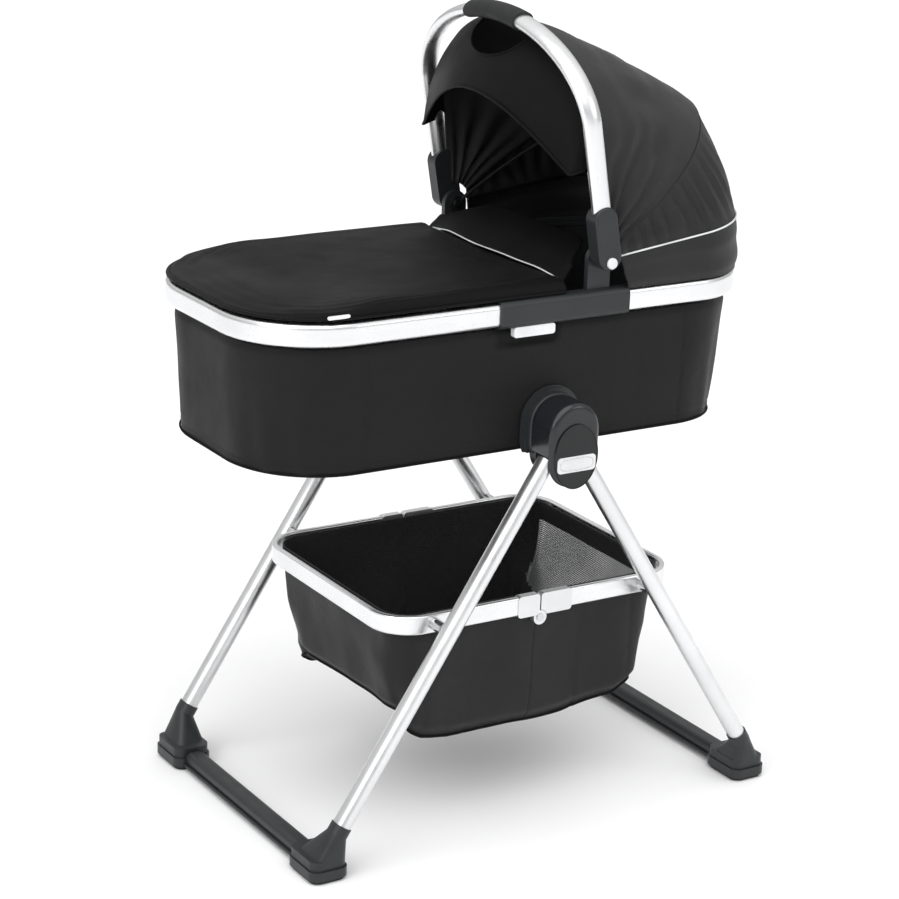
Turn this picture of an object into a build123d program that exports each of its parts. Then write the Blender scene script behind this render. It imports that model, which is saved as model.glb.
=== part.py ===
from build123d import *
import os
from math import atan2, cos, radians, sin

os.makedirs("parts", exist_ok=True)

# Frame: +X points to the head end, +Y to the far side, +Z up, floor at z = 0.
# The origin is under the middle of the whole object. All lengths are millimetres.

# Rim of the bassinet
rim_half_length = 410.0
rim_half_width = 205.0
rim_foot_radius = 140.0
rim_head_radius = 110.0
rail_bottom = 758.0
rail_height = 34.0
rail_depth = 18.0
rail_rounding = 8.0
rail_wall = 2.0

# Side fairings that join the two rails, with the release levers in their underside
fairing_foot_x = -63.0
fairing_head_x = 152.0
fairing_wall = 3.0
rail_socket = 14.0
lever_centre_x = -5.0
lever_length = 68.0
lever_travel = 6.0

# Fabric tub
tub_bottom = 571.0
tub_foot_x = -408.0
tub_head_x = 370.0
tub_half_width = 190.0
tub_foot_radius = 134.0
tub_head_radius = 106.0
cloth = 4.0
board = 6.0
mattress_height = 32.0

# Stand
hub_x = 29.0
hub_low = 570.0
hub_high = 612.0
hub_mid_x = 34.0
hub_radius = 41.0
hub_inner_y = 214.0
hub_outer_y = 262.0
hub_wall = 3.5
leg_y = 239.0
leg_pivot_z = 584.0
leg_pivot_offset = 17.5
leg_wide = 28.0
leg_thick = 25.0
leg_wall = 1.8
leg_reach = 345.0
collar_z = 78.0
foot_height = 28.0
pad_height = 5.0
running_gap = 0.05
foot_overhang = 2.0

# Storage basket
basket_half_length = 250.0
basket_half_width = 199.0
basket_radius = 60.0
strip_low = 321.5
strip_height = 28.0
strip_thick = 9.0
basket_pivot_z = 314.0
basket_floor = 140.0

# Carrying handle and canopy, all turning about one cross axis
swing_x = 104.0
swing_z = 838.0
handle_angle = 100.5
handle_y = 214.0
handle_reach = 327.0
handle_shoulder = 195.0
tube_wide = 30.0
tube_thick = 18.0
tube_wall = 1.8
bow_angle = 34.0
bow_reach = 306.0
bow_half_width = 184.0
bow_radius = 3.0
canopy_half_width = 200.0
canopy_foot = 34.0
piping_angle = 7.0
visor_angle = 114.0
visor_reach = 240.0
hand_hole_reach = 300.0
hand_hole_half_width = 68.0
hand_hole_half_depth = 45.0

leg_slope = (leg_reach - leg_pivot_offset) / (leg_pivot_z - collar_z)
leg_angle = atan2(leg_reach - leg_pivot_offset, leg_pivot_z - collar_z)
stand_half_length = leg_pivot_offset + leg_pivot_z * leg_slope + foot_overhang
# the rim's foot end reaches as far as the stand's head end, so the object is centred on the origin
rim_mid_x = rim_half_length - hub_x - stand_half_length


def save(piece, name):
    piece.part.label = name
    export_step(piece.part, f"parts/{name}.step")


def save_mirrored(piece, name, plane=Plane.XZ):
    with BuildPart() as twin:
        add(mirror(piece.part, about=plane, mode=Mode.PRIVATE))
    save(twin, name)


def save_pair(piece, name):
    save(piece, name + "_near")
    save_mirrored(piece, name + "_far")


def outline(z, foot_x, head_x, half_width, foot_radius, head_radius):
    with BuildSketch(Plane.XY.offset(z)) as shape:
        with Locations(((foot_x + head_x) / 2, 0)):
            Rectangle(head_x - foot_x, 2 * half_width)
        fillet(shape.vertices().sort_by(Axis.X)[:2], foot_radius)
        fillet(shape.vertices().sort_by(Axis.X)[-2:], head_radius)
    return shape.sketch


def rim_outline(z, inset):
    return outline(z, rim_mid_x - rim_half_length + inset, rim_mid_x + rim_half_length - inset,
                   rim_half_width - inset, rim_foot_radius - inset, rim_head_radius - inset)


def tub_outline(z, inset):
    # the tub widens evenly from its floor to the underside of the rim
    rise = (z - tub_bottom) / (rail_bottom - tub_bottom)
    return outline(z, tub_foot_x - 8 * rise + inset, tub_head_x + 14 * rise - inset,
                   tub_half_width + 5 * rise - inset, tub_foot_radius - inset, tub_head_radius - inset)


def rail_ring(inset, rounding):
    with BuildPart() as ring:
        extrude(rim_outline(rail_bottom + inset, inset), amount=rail_height - 2 * inset)
        extrude(rim_outline(rail_bottom + inset, rail_depth - inset), amount=rail_height - 2 * inset,
                mode=Mode.SUBTRACT)
        levels = ring.edges().group_by(Axis.Z)
        fillet(levels[0] + levels[-1], rounding)
    return ring.part


def bow_plane(angle):
    # plane through the swing axis: local x along +Y, local y out along the bow
    return Plane(origin=(swing_x, 0, swing_z), x_dir=(0, 1, 0),
                 z_dir=(sin(radians(angle)), 0, -cos(radians(angle))))


def upright_slot(y, radius, low=hub_low, high=hub_high):
    with BuildSketch(Plane.XZ.offset(y)) as shape:
        with Locations((hub_mid_x, (low + high) / 2)):
            SlotCenterToCenter(high - low, 2 * radius, rotation=90)
    return shape.sketch


# ---------------------------------------------------------------- rim rails and fairings
with BuildPart() as whole_rail:
    add(rail_ring(0, rail_rounding))
    add(rail_ring(rail_wall, rail_rounding - rail_wall), mode=Mode.SUBTRACT)

with BuildPart() as rim_rail_foot:
    add(whole_rail.part)
    split(bisect_by=Plane.YZ.offset(fairing_foot_x + rail_socket), keep=Keep.BOTTOM)
save(rim_rail_foot, "rim_rail_foot")

with BuildPart() as rim_rail_head:
    add(whole_rail.part)
    split(bisect_by=Plane.YZ.offset(fairing_head_x - rail_socket), keep=Keep.TOP)
save(rim_rail_head, "rim_rail_head")

fairing_length = fairing_head_x - fairing_foot_x
fairing_mid = (fairing_foot_x + fairing_head_x) / 2
rail_mid_y = rim_half_width - rail_depth / 2
rail_mid_z = rail_bottom + rail_height / 2
lever_outer_y = rim_half_width - 0.7
lever_depth = 8.8
lever_height = 15.0
lever_low = rail_bottom - 17.0
lever_gap = 0.5

with BuildPart() as side_fairing:
    with Locations((fairing_mid, -rail_mid_y, rail_mid_z)):
        Box(fairing_length, rail_depth + 2 * fairing_wall, rail_height + 2 * fairing_wall)
    fillet(side_fairing.edges().filter_by(Axis.X), rail_rounding + 1)
    with BuildSketch(Plane.YZ.offset(fairing_foot_x)) as socket:
        with Locations((-rail_mid_y, rail_mid_z)):
            RectangleRounded(rail_depth + 0.2, rail_height + 0.2, rail_rounding)
    extrude(amount=fairing_length, mode=Mode.SUBTRACT)
    with Locations((lever_centre_x, -lever_outer_y + lever_depth / 2, rail_bottom)):
        Box(lever_length + 2 * lever_gap, lever_depth + 2 * lever_gap, 2 * (fairing_wall + 1), mode=Mode.SUBTRACT)
save_pair(side_fairing, "side_fairing")

with BuildPart() as release_lever:
    with Locations((lever_centre_x, -lever_outer_y + lever_depth / 2, lever_low + lever_height / 2)):
        Box(lever_length, lever_depth, lever_height)
    fillet(release_lever.edges().filter_by(Axis.Y), 4)
save_pair(release_lever, "release_lever")

# ---------------------------------------------------------------- fabric tub
tub_top = rail_bottom - fairing_wall - 0.5
with BuildPart() as tub_fabric:
    loft([tub_outline(tub_bottom, 0), tub_outline(tub_top, 0)])
    loft([tub_outline(tub_bottom, cloth), tub_outline(tub_top, cloth)], mode=Mode.SUBTRACT)
save(tub_fabric, "tub_fabric")

with BuildPart() as tub_base:
    extrude(tub_outline(tub_bottom, cloth + 0.5), amount=board)
    with Locations((0, 0, tub_bottom + board)):
        with GridLocations(120, 90, 5, 3):
            Hole(9, board)
save(tub_base, "tub_base")

liner_low = tub_bottom + board
liner_high = rail_bottom + rail_height - 2
with BuildPart() as tub_liner:
    extrude(tub_outline(liner_low, rail_depth - 4), amount=liner_high - liner_low)
    extrude(tub_outline(liner_low + 3, rail_depth - 1), amount=liner_high - liner_low,
            mode=Mode.SUBTRACT)
save(tub_liner, "tub_liner")

with BuildPart() as mattress:
    extrude(tub_outline(liner_low + 3, rail_depth + 1), amount=mattress_height)
    fillet(mattress.edges().group_by(Axis.Z)[-1], 12)
save(mattress, "mattress")

apron_low = rail_bottom + rail_height + fairing_wall + 0.5
apron_height = 20.0
apron_head_x = 46.0
with BuildPart() as apron:
    extrude(rim_outline(apron_low, 5), amount=apron_height)
    fillet(apron.edges().group_by(Axis.Z)[-1], 9)
    extrude(rim_outline(apron_low, 5 + cloth), amount=apron_height - cloth, mode=Mode.SUBTRACT)
    split(bisect_by=Plane.YZ.offset(apron_head_x), keep=Keep.BOTTOM)
save(apron, "apron")

guard_low_z = apron_low + apron_height
guard_run = 82.0
guard_rise = 30.0
guard_half_width = rim_half_width - 28
with BuildPart() as wind_guard:
    with BuildSketch(Plane.XZ.offset(-guard_half_width)):
        with BuildLine():
            Polyline((apron_head_x + 1, guard_low_z - cloth), (apron_head_x + 12, guard_low_z),
                     (apron_head_x + guard_run, guard_low_z + guard_rise),
                     (apron_head_x + guard_run - 2, guard_low_z + guard_rise + cloth),
                     (apron_head_x + 8, guard_low_z + cloth), (apron_head_x + 1, guard_low_z), close=True)
        make_face()
    extrude(amount=2 * guard_half_width)
save(wind_guard, "wind_guard")

with BuildPart() as apron_zip_pull:
    with BuildSketch(Plane.XZ.offset(rim_half_width - 5 + 0.2)):
        with Locations((-316, apron_low + 6)):
            SlotOverall(34, 5)
    extrude(amount=2)
save(apron_zip_pull, "apron_zip_pull")

# ---------------------------------------------------------------- docks on the tub's sides
dock_clearance = 0.5
dock_outer = 50.0
hub_back_radius = 35.0
dock_plate_y = tub_half_width + 3.5
with BuildPart() as dock_arches:
    extrude(upright_slot(dock_plate_y, dock_outer, tub_bottom + 20, hub_high), amount=3)
    extrude(upright_slot(dock_plate_y + 3, dock_outer - 3, tub_bottom + 20, hub_high), amount=5)
    extrude(upright_slot(dock_plate_y + 8, dock_outer - 8, tub_bottom + 20, hub_high), amount=8)
    fillet(dock_arches.edges().group_by(Axis.Y)[0], 3)
    extrude(upright_slot(dock_plate_y + 3, hub_back_radius + dock_clearance, tub_bottom, hub_high),
            amount=13, mode=Mode.SUBTRACT)
    with Locations((hub_mid_x, -dock_plate_y - 8, tub_bottom - 40)):
        Box(2 * dock_outer + 10, 30, 2 * 38, mode=Mode.SUBTRACT)
    with Locations((hub_mid_x, -dock_plate_y - 11, tub_bottom - 20)):
        Box(2 * (hub_back_radius + dock_clearance), 16, 60, mode=Mode.SUBTRACT)
    mirror(about=Plane.XZ)
save(dock_arches, "dock_arches")

# ---------------------------------------------------------------- stand hubs
hub_back_y = dock_plate_y + 3 + 1.5
pin_radius = 5.0
pivots = [hub_x - leg_pivot_offset, hub_x + leg_pivot_offset]
pin_start_y = hub_inner_y - 8
pin_end_y = hub_outer_y - 3

with BuildPart() as hub_housing:
    extrude(upright_slot(hub_inner_y, hub_radius), amount=hub_outer_y - hub_inner_y)
    fillet(hub_housing.edges().group_by(Axis.Y)[0], 9)
    extrude(upright_slot(hub_inner_y, hub_radius - hub_wall), amount=leg_y + 16 - hub_inner_y,
            mode=Mode.SUBTRACT)
    with Locations((hub_mid_x, -(hub_inner_y + leg_y + 16) / 2, leg_pivot_z - 7 - 35)):
        Box(2 * hub_radius + 4, leg_y + 16 - hub_inner_y, 70, mode=Mode.SUBTRACT)
    with BuildSketch(Plane.XZ.offset(hub_inner_y)):
        with Locations(*[(x, leg_pivot_z) for x in pivots]):
            Circle(pin_radius + 0.02)
    extrude(amount=pin_end_y - hub_inner_y, mode=Mode.SUBTRACT)
save_pair(hub_housing, "hub_housing")

with BuildPart() as hub_backs:
    extrude(upright_slot(hub_back_y, hub_back_radius), amount=hub_inner_y - hub_back_y)
    with BuildSketch(Plane.XZ.offset(pin_start_y)):
        with Locations(*[(x, leg_pivot_z) for x in pivots]):
            Circle(pin_radius + 0.02)
    extrude(amount=hub_inner_y - pin_start_y, mode=Mode.SUBTRACT)
    mirror(about=Plane.XZ)
save(hub_backs, "hub_backs")

cover_width = 72.0
cover_height = 94.0
cover_z = 576.0
cover_thick = 2.5
with BuildPart() as hub_covers:
    with BuildSketch(Plane.XZ.offset(hub_outer_y)):
        with Locations((hub_mid_x, cover_z)):
            Ellipse(cover_width / 2, cover_height / 2)
    extrude(amount=cover_thick)
    chamfer(hub_covers.edges().group_by(Axis.Y)[0], 0.8)
    mirror(about=Plane.XZ)
save(hub_covers, "hub_covers")

with BuildPart() as hub_badges:
    with BuildSketch(Plane.XZ.offset(hub_outer_y + cover_thick)):
        with Locations((hub_mid_x, cover_z - 10)):
            RectangleRounded(64, 23, 6)
    extrude(amount=1.2)
    mirror(about=Plane.XZ)
save(hub_badges, "hub_badges")

with BuildPart() as leg_pivot_pins:
    with BuildSketch(Plane.XZ.offset(pin_start_y)):
        with Locations(*[(x, leg_pivot_z) for x in pivots]):
            Circle(pin_radius)
    extrude(amount=pin_end_y - pin_start_y)
    mirror(about=Plane.XZ)
save(leg_pivot_pins, "leg_pivot_pins")

# ---------------------------------------------------------------- legs, drawn at the foot end
head_mirror = Plane.YZ.offset(hub_x)


def leg_x(z):
    # leg's centre line at the foot end
    return hub_x - leg_pivot_offset - (leg_pivot_z - z) * leg_slope


def leg_plane(z):
    # plane square to the leg, local x along +Y, facing down the leg
    return Plane(origin=(leg_x(z), -leg_y, z), x_dir=(0, 1, 0), z_dir=(-sin(leg_angle), 0, -cos(leg_angle)))


def leg_length(high, low):
    return (high - low) / cos(leg_angle)


leg_top_z = leg_pivot_z - 15
leg_end_z = collar_z - 20
plug_wide = leg_wide - 2 * leg_wall - 0.2
plug_thick = leg_thick - 2 * leg_wall - 0.2
eye_thick = 26.0
neck_thick = 15.0

with BuildPart() as leg_foot:
    with BuildSketch(leg_plane(leg_top_z)):
        SlotOverall(leg_wide, leg_thick)
        SlotOverall(leg_wide - 2 * leg_wall, leg_thick - 2 * leg_wall, mode=Mode.SUBTRACT)
    extrude(amount=leg_length(leg_top_z, leg_end_z))

with BuildPart() as leg_knuckle:
    with BuildSketch(Plane.XZ.offset(leg_y - eye_thick / 2)):
        with Locations((pivots[0], leg_pivot_z)):
            Circle(14)
    extrude(amount=eye_thick)
    with BuildSketch(leg_plane(leg_pivot_z)):
        SlotOverall(eye_thick, neck_thick)
    extrude(amount=leg_length(leg_pivot_z, leg_top_z))
    with BuildSketch(leg_plane(leg_top_z)):
        SlotOverall(plug_wide, plug_thick)
    extrude(amount=30)
    with BuildSketch(Plane.XZ.offset(leg_y - eye_thick)):
        with Locations((pivots[0], leg_pivot_z)):
            Circle(pin_radius + running_gap)
    extrude(amount=2 * eye_thick, mode=Mode.SUBTRACT)

foot_outer_x = hub_x - stand_half_length
foot_block = 19.0
foot_long = 60.0
foot_wide = 80.0
foot_mid_x = foot_outer_x + foot_long / 2
foot_mid_y = leg_y + leg_wide / 2 + 1 - foot_wide / 2
collar_wide = leg_wide + 4
collar_thick = leg_thick + 4

with BuildPart() as foot_corner:
    with BuildSketch(Plane.XY.offset(pad_height)):
        with Locations((foot_mid_x, -foot_mid_y)):
            RectangleRounded(foot_long, foot_wide, 15)
    extrude(amount=foot_block - pad_height)
    with BuildSketch(Plane.XY.offset(foot_block)) as foot_top:
        with Locations((foot_mid_x, -foot_mid_y)):
            RectangleRounded(foot_long - 4, foot_wide - 6, 14)
    with BuildSketch(leg_plane(collar_z - 12)) as collar_low:
        SlotOverall(collar_wide, collar_thick)
    loft([foot_top.sketch, collar_low.sketch])
    with BuildSketch(leg_plane(collar_z)):
        SlotOverall(collar_wide, collar_thick)
    extrude(amount=leg_length(collar_z, collar_z - 12))
    with BuildSketch(leg_plane(collar_z + 5)):
        SlotOverall(leg_wide + 0.2, leg_thick + 0.2)
    extrude(amount=leg_length(collar_z + 5, leg_end_z - 0.5), mode=Mode.SUBTRACT)

with BuildPart() as foot_pads:
    with BuildSketch(Plane.XY):
        with Locations((foot_mid_x, -foot_mid_y), (foot_mid_x, foot_mid_y)):
            RectangleRounded(foot_long - 8, foot_wide - 8, 12)
    extrude(amount=pad_height)

bar_half_length = foot_mid_y - foot_wide / 2
with BuildPart() as base_bar:
    with BuildSketch(Plane.XZ.offset(-bar_half_length)):
        with Locations((foot_mid_x, (foot_height + pad_height) / 2 + 1)):
            RectangleRounded(30, foot_height - pad_height - 2, 9)
        with Locations((foot_mid_x, pad_height + 4)):
            RectangleRounded(38, 5, 2)
    extrude(amount=2 * bar_half_length)

pin_z = strip_low + strip_height / 2
pin_x = leg_x(pin_z)
bush_gap = 0.4
with BuildPart() as basket_bushes:
    with BuildSketch(Plane.XZ.offset(basket_half_width + bush_gap)):
        with Locations((pin_x, pin_z)):
            Circle(9)
    extrude(amount=leg_y - leg_wide / 2 - basket_half_width - bush_gap)

with BuildPart() as basket_pins_foot:
    add(basket_bushes.part)
    with BuildSketch(Plane.XZ.offset(basket_half_width - strip_thick - 1)):
        with Locations((pin_x, pin_z)):
            Circle(4)
    extrude(amount=strip_thick + 1 + bush_gap)
    with BuildSketch(Plane.XZ.offset(basket_half_width - strip_thick - 2.5)):
        with Locations((pin_x, pin_z)):
            Circle(7)
    extrude(amount=2.1)
    mirror(about=Plane.XZ)
save(basket_pins_foot, "basket_pins_foot")

with BuildPart() as basket_pins_head:
    add(basket_bushes.part)
    mirror(about=Plane.XZ)
    mirror(about=head_mirror)
    split(bisect_by=head_mirror, keep=Keep.TOP)
save(basket_pins_head, "basket_pins_head")

save_pair(leg_foot, "leg_foot")
with BuildPart() as leg_head:
    add(mirror(leg_foot.part, about=head_mirror, mode=Mode.PRIVATE))
save_pair(leg_head, "leg_head")

for drawn, name in ((leg_knuckle, "leg_knuckles"), (foot_corner, "foot_corners")):
    with BuildPart() as foot_end:
        add(drawn.part)
        mirror(about=Plane.XZ)
    save(foot_end, name + "_foot")
    save_mirrored(foot_end, name + "_head", head_mirror)

for drawn, name in ((foot_pads, "foot_pads"), (base_bar, "base_bar")):
    save(drawn, name + "_foot")
    save_mirrored(drawn, name + "_head", head_mirror)

# ---------------------------------------------------------------- storage basket
foot_strip_end = hub_x - 20
head_strip_end = hub_x + 30


def basket_outline(z, inset, taper=0.0):
    return outline(z, hub_x - basket_half_length + inset + taper, hub_x + basket_half_length - inset - taper,
                   basket_half_width - inset, basket_radius - inset, basket_radius - inset)


with BuildPart() as basket_strip:
    extrude(basket_outline(strip_low, 0), amount=strip_height)
    extrude(basket_outline(strip_low, strip_thick), amount=strip_height, mode=Mode.SUBTRACT)
    strip_levels = basket_strip.edges().group_by(Axis.Z)
    fillet(strip_levels[0] + strip_levels[-1], 3)

with BuildPart() as basket_frame_foot:
    add(basket_strip.part)
    split(bisect_by=Plane.YZ.offset(foot_strip_end), keep=Keep.BOTTOM)
    with BuildSketch(Plane.XZ.offset(-basket_half_width - 1)):
        with Locations((pin_x, pin_z)):
            Circle(4 + running_gap)
    extrude(amount=2 * basket_half_width + 2, mode=Mode.SUBTRACT)
save(basket_frame_foot, "basket_frame_foot")

with BuildPart() as basket_frame_head:
    add(basket_strip.part)
    split(bisect_by=Plane.YZ.offset(head_strip_end), keep=Keep.TOP)
save(basket_frame_head, "basket_frame_head")

knuckle_outer_y = basket_half_width + 1.4
knuckle_inner_y = basket_half_width - strip_thick - 1.4
knuckle_mid_y = (knuckle_outer_y + knuckle_inner_y) / 2
knuckle_low = basket_pivot_z + 4
knuckle_high = strip_low + strip_height + 1.2
lobe_radius = 11.0
hinge_pin_radius = 3.0


def basket_knuckle(low_x, high_x, strip_x, lobe_start_y, lobe_end_y):
    other_start = knuckle_inner_y if lobe_start_y > knuckle_inner_y else knuckle_mid_y - 0.3
    with BuildPart() as knuckle:
        with BuildSketch(Plane.XZ.offset(knuckle_inner_y)):
            with Locations(((low_x + high_x) / 2, (knuckle_low + knuckle_high) / 2)):
                RectangleRounded(high_x - low_x, knuckle_high - knuckle_low, 5)
        extrude(amount=knuckle_outer_y - knuckle_inner_y)
        with BuildSketch(Plane.XZ.offset(other_start)):
            with Locations((hub_x, basket_pivot_z)):
                Circle(lobe_radius + 0.6)
        extrude(amount=knuckle_outer_y - knuckle_mid_y + 0.3, mode=Mode.SUBTRACT)
        with BuildSketch(Plane.XZ.offset(lobe_start_y)):
            with Locations((hub_x, basket_pivot_z)):
                Circle(lobe_radius)
        extrude(amount=lobe_end_y - lobe_start_y)
        with Locations((strip_x, -basket_half_width + strip_thick / 2, strip_low + strip_height / 2)):
            Box(60, strip_thick + 0.2, strip_height + 0.2, mode=Mode.SUBTRACT)
        with BuildSketch(Plane.XZ.offset(knuckle_inner_y - 1)):
            with Locations((hub_x, basket_pivot_z)):
                Circle(hinge_pin_radius + running_gap)
        extrude(amount=knuckle_outer_y - knuckle_inner_y + 2, mode=Mode.SUBTRACT)
        mirror(about=Plane.XZ)
    return knuckle


basket_knuckles_foot = basket_knuckle(hub_x - 38, hub_x - 1, foot_strip_end - 30, knuckle_mid_y + 0.3,
                                      knuckle_outer_y)
save(basket_knuckles_foot, "basket_knuckles_foot")
basket_knuckles_head = basket_knuckle(hub_x + 1, hub_x + 54, head_strip_end + 30, knuckle_inner_y,
                                      knuckle_mid_y - 0.3)
save(basket_knuckles_head, "basket_knuckles_head")

with BuildPart() as basket_hinge_pins:
    with BuildSketch(Plane.XZ.offset(knuckle_inner_y - 0.5)):
        with Locations((hub_x, basket_pivot_z)):
            Circle(hinge_pin_radius)
    extrude(amount=knuckle_outer_y - knuckle_inner_y + 1)
    with BuildSketch(Plane.XZ.offset(knuckle_outer_y + 0.3)):
        with Locations((hub_x, basket_pivot_z)):
            Circle(hinge_pin_radius + 3)
    extrude(amount=1.5)
    with BuildSketch(Plane.XZ.offset(knuckle_inner_y - 2)):
        with Locations((hub_x, basket_pivot_z)):
            Circle(hinge_pin_radius + 2)
    extrude(amount=1.7)
    mirror(about=Plane.XZ)
save(basket_hinge_pins, "basket_hinge_pins")

bag_inset = strip_thick + 6.5
bag_waist_z = basket_floor + 40
with BuildPart() as basket_bag:
    for inset, floor_z, mode in ((0, basket_floor, Mode.ADD), (cloth - 1, basket_floor + cloth - 1,
                                                              Mode.SUBTRACT)):
        loft([basket_outline(bag_waist_z, bag_inset + 3 + inset, 10),
              basket_outline(strip_low + strip_height - 3, bag_inset + inset)], mode=mode)
        loft([basket_outline(floor_z, bag_inset + 12 + inset, 62),
              basket_outline(bag_waist_z, bag_inset + 3 + inset, 10)], mode=mode)

for name, side in (("basket_bag_foot", Keep.BOTTOM), ("basket_bag_head", Keep.TOP)):
    with BuildPart() as bag_half:
        add(basket_bag.part)
        split(bisect_by=Plane.YZ.offset(hub_x), keep=side)
    save(bag_half, name)

screw_spacing = 62.0
for name, first_x in (("basket_screws_foot", hub_x - 132), ("basket_screws_head", hub_x + 70)):
    with BuildPart() as basket_screws:
        with BuildSketch(Plane.XZ.offset(basket_half_width - strip_thick - 1.2)):
            with Locations((first_x, pin_z), (first_x + screw_spacing, pin_z)):
                Circle(3.6)
        extrude(amount=1.2)
        mirror(about=Plane.XZ)
    save(basket_screws, name)

# ---------------------------------------------------------------- handle and its mounts
mount_inner_y = bow_half_width + 3.5
mount_outer_y = mount_inner_y + 9
fitting_inner_y = handle_y - tube_thick / 2 - 3.5
fitting_outer_y = handle_y + tube_thick / 2 + 3.5
swing_pin_radius = 6.0
fitting_top = 72.0

with BuildPart() as handle_mounts:
    with BuildSketch(Plane.XZ.offset(mount_inner_y)):
        with Locations((swing_x, swing_z)):
            Circle(19)
        with Locations((swing_x, (swing_z + apron_low - 0.5) / 2)):
            Rectangle(38, swing_z - apron_low + 0.5)
    extrude(amount=mount_outer_y - mount_inner_y)
    with BuildSketch(Plane.XZ.offset(mount_inner_y - 1)):
        with Locations((swing_x, swing_z)):
            Circle(swing_pin_radius + 0.02)
    extrude(amount=mount_outer_y - mount_inner_y + 2, mode=Mode.SUBTRACT)
    mirror(about=Plane.XZ)
save(handle_mounts, "handle_mounts")

with BuildPart() as handle_pivot_pins:
    with BuildSketch(Plane.XZ.offset(bow_half_width - 4)):
        with Locations((swing_x, swing_z)):
            Circle(swing_pin_radius)
    extrude(amount=handle_y - tube_thick / 2 + 6 - bow_half_width + 4)
    mirror(about=Plane.XZ)
save(handle_pivot_pins, "handle_pivot_pins")


def arch(angle, half_width, reach, shoulder, start):
    # upright legs that run into half an ellipse, in the bow's own plane
    with BuildLine(bow_plane(angle)) as path:
        Line((-half_width, start), (-half_width, shoulder))
        EllipticalCenterArc((0, shoulder), half_width, reach - shoulder, start_angle=90, arc_size=90)
        EllipticalCenterArc((0, shoulder), half_width, reach - shoulder, start_angle=0, arc_size=90)
        Line((half_width, shoulder), (half_width, start))
    return path.wire()


def swept(path, wide, thick):
    # oval bar with its wide side square to the arch's plane
    start = path.position_at(0)
    with BuildPart() as bar:
        with BuildSketch(Plane(origin=start, x_dir=(0, 1, 0), z_dir=path.tangent_at(0))):
            Ellipse(thick / 2, wide / 2)
        sweep(path=path)
    return bar.part


tube_start = 26.0
handle_path = arch(handle_angle, handle_y, handle_reach, handle_shoulder, tube_start)
with BuildPart() as handle_tube:
    add(swept(handle_path, tube_wide, tube_thick))
    add(swept(handle_path, tube_wide - 2 * tube_wall, tube_thick - 2 * tube_wall), mode=Mode.SUBTRACT)
save(handle_tube, "handle_tube")

grip_half = 64.0
with BuildPart() as handle_grip:
    add(swept(handle_path, tube_wide + 7, tube_thick + 7))
    add(swept(handle_path, tube_wide + 0.2, tube_thick + 0.2), mode=Mode.SUBTRACT)
    split(bisect_by=Plane.XZ.offset(grip_half), keep=Keep.BOTTOM)
    split(bisect_by=Plane.XZ.offset(-grip_half), keep=Keep.TOP)
save(handle_grip, "handle_grip")

button_radius = 8.0
button_travel = 3.0
button_proud = 3.5
button_well = 9.0
fitting_lean = handle_angle - 90
with BuildPart() as handle_fitting:
    with BuildSketch(Plane.XZ.offset(fitting_inner_y)):
        with Locations(Location((swing_x, swing_z), fitting_lean) * Location((0, (fitting_top - 2) / 2))):
            SlotCenterToCenter(fitting_top - 18, tube_wide + 8, rotation=90)
    extrude(amount=fitting_outer_y - fitting_inner_y)
    fillet(handle_fitting.edges().group_by(Axis.Y)[0], 4)
    with BuildSketch(Plane(origin=handle_path.position_at(0), x_dir=(0, 1, 0),
                           z_dir=handle_path.tangent_at(0))):
        Ellipse(tube_thick / 2 + 0.1, tube_wide / 2 + 0.1)
    extrude(amount=80, mode=Mode.SUBTRACT)
    with BuildSketch(Plane.XZ.offset(fitting_inner_y - 1)):
        with Locations((swing_x, swing_z)):
            Circle(swing_pin_radius + running_gap)
    extrude(amount=handle_y - tube_thick / 2 + 8 - fitting_inner_y, mode=Mode.SUBTRACT)
    with BuildSketch(Plane.XZ.offset(fitting_outer_y)):
        with Locations((swing_x, swing_z)):
            Circle(button_radius + 0.3)
    extrude(amount=-button_well, mode=Mode.SUBTRACT)
save_pair(handle_fitting, "handle_fitting")

spring_turns = 4
spring_radius = 5.0
spring_wire = 0.6
button_inner_y = fitting_outer_y - button_well + 5.0
with BuildPart() as handle_button:
    with BuildSketch(Plane.XZ.offset(button_inner_y)):
        with Locations((swing_x, swing_z)):
            Circle(button_radius)
    extrude(amount=fitting_outer_y + button_proud - button_inner_y)
    fillet(handle_button.edges().group_by(Axis.Y)[0], 1.5)
save_pair(handle_button, "handle_button")

spring_length = button_inner_y - (fitting_outer_y - button_well) - 2 * spring_wire - 0.4
with BuildPart() as button_spring:
    with BuildLine() as coil:
        Helix(pitch=spring_length / spring_turns, height=spring_length, radius=spring_radius,
              center=(swing_x, button_well - fitting_outer_y - spring_wire - 0.2, swing_z),
              direction=(0, -1, 0))
    with BuildSketch(Plane(origin=coil.line @ 0, x_dir=(1, 0, 0), z_dir=coil.line % 0)):
        Circle(spring_wire)
    sweep(path=coil.line, is_frenet=True)
save_pair(button_spring, "button_spring")

# ---------------------------------------------------------------- canopy
eyelet_thick = 4.0
bow_path = arch(bow_angle, bow_half_width, bow_reach, 20.0, 8.0)
with BuildPart() as rear_bow_rod:
    with BuildSketch(Plane(origin=bow_path.position_at(0), x_dir=(0, 1, 0), z_dir=bow_path.tangent_at(0))):
        Circle(bow_radius)
    sweep(path=bow_path)
    for side in (-1, 1):
        with BuildSketch(Plane.XZ.offset(side * bow_half_width - eyelet_thick / 2)):
            with Locations((swing_x, swing_z)):
                Circle(11)
        extrude(amount=eyelet_thick)
    with BuildSketch(Plane.XZ.offset(-bow_half_width - 5)):
        with Locations((swing_x, swing_z)):
            Circle(swing_pin_radius + running_gap)
    extrude(amount=2 * bow_half_width + 10, mode=Mode.SUBTRACT)
save(rear_bow_rod, "rear_bow_rod")


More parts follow.
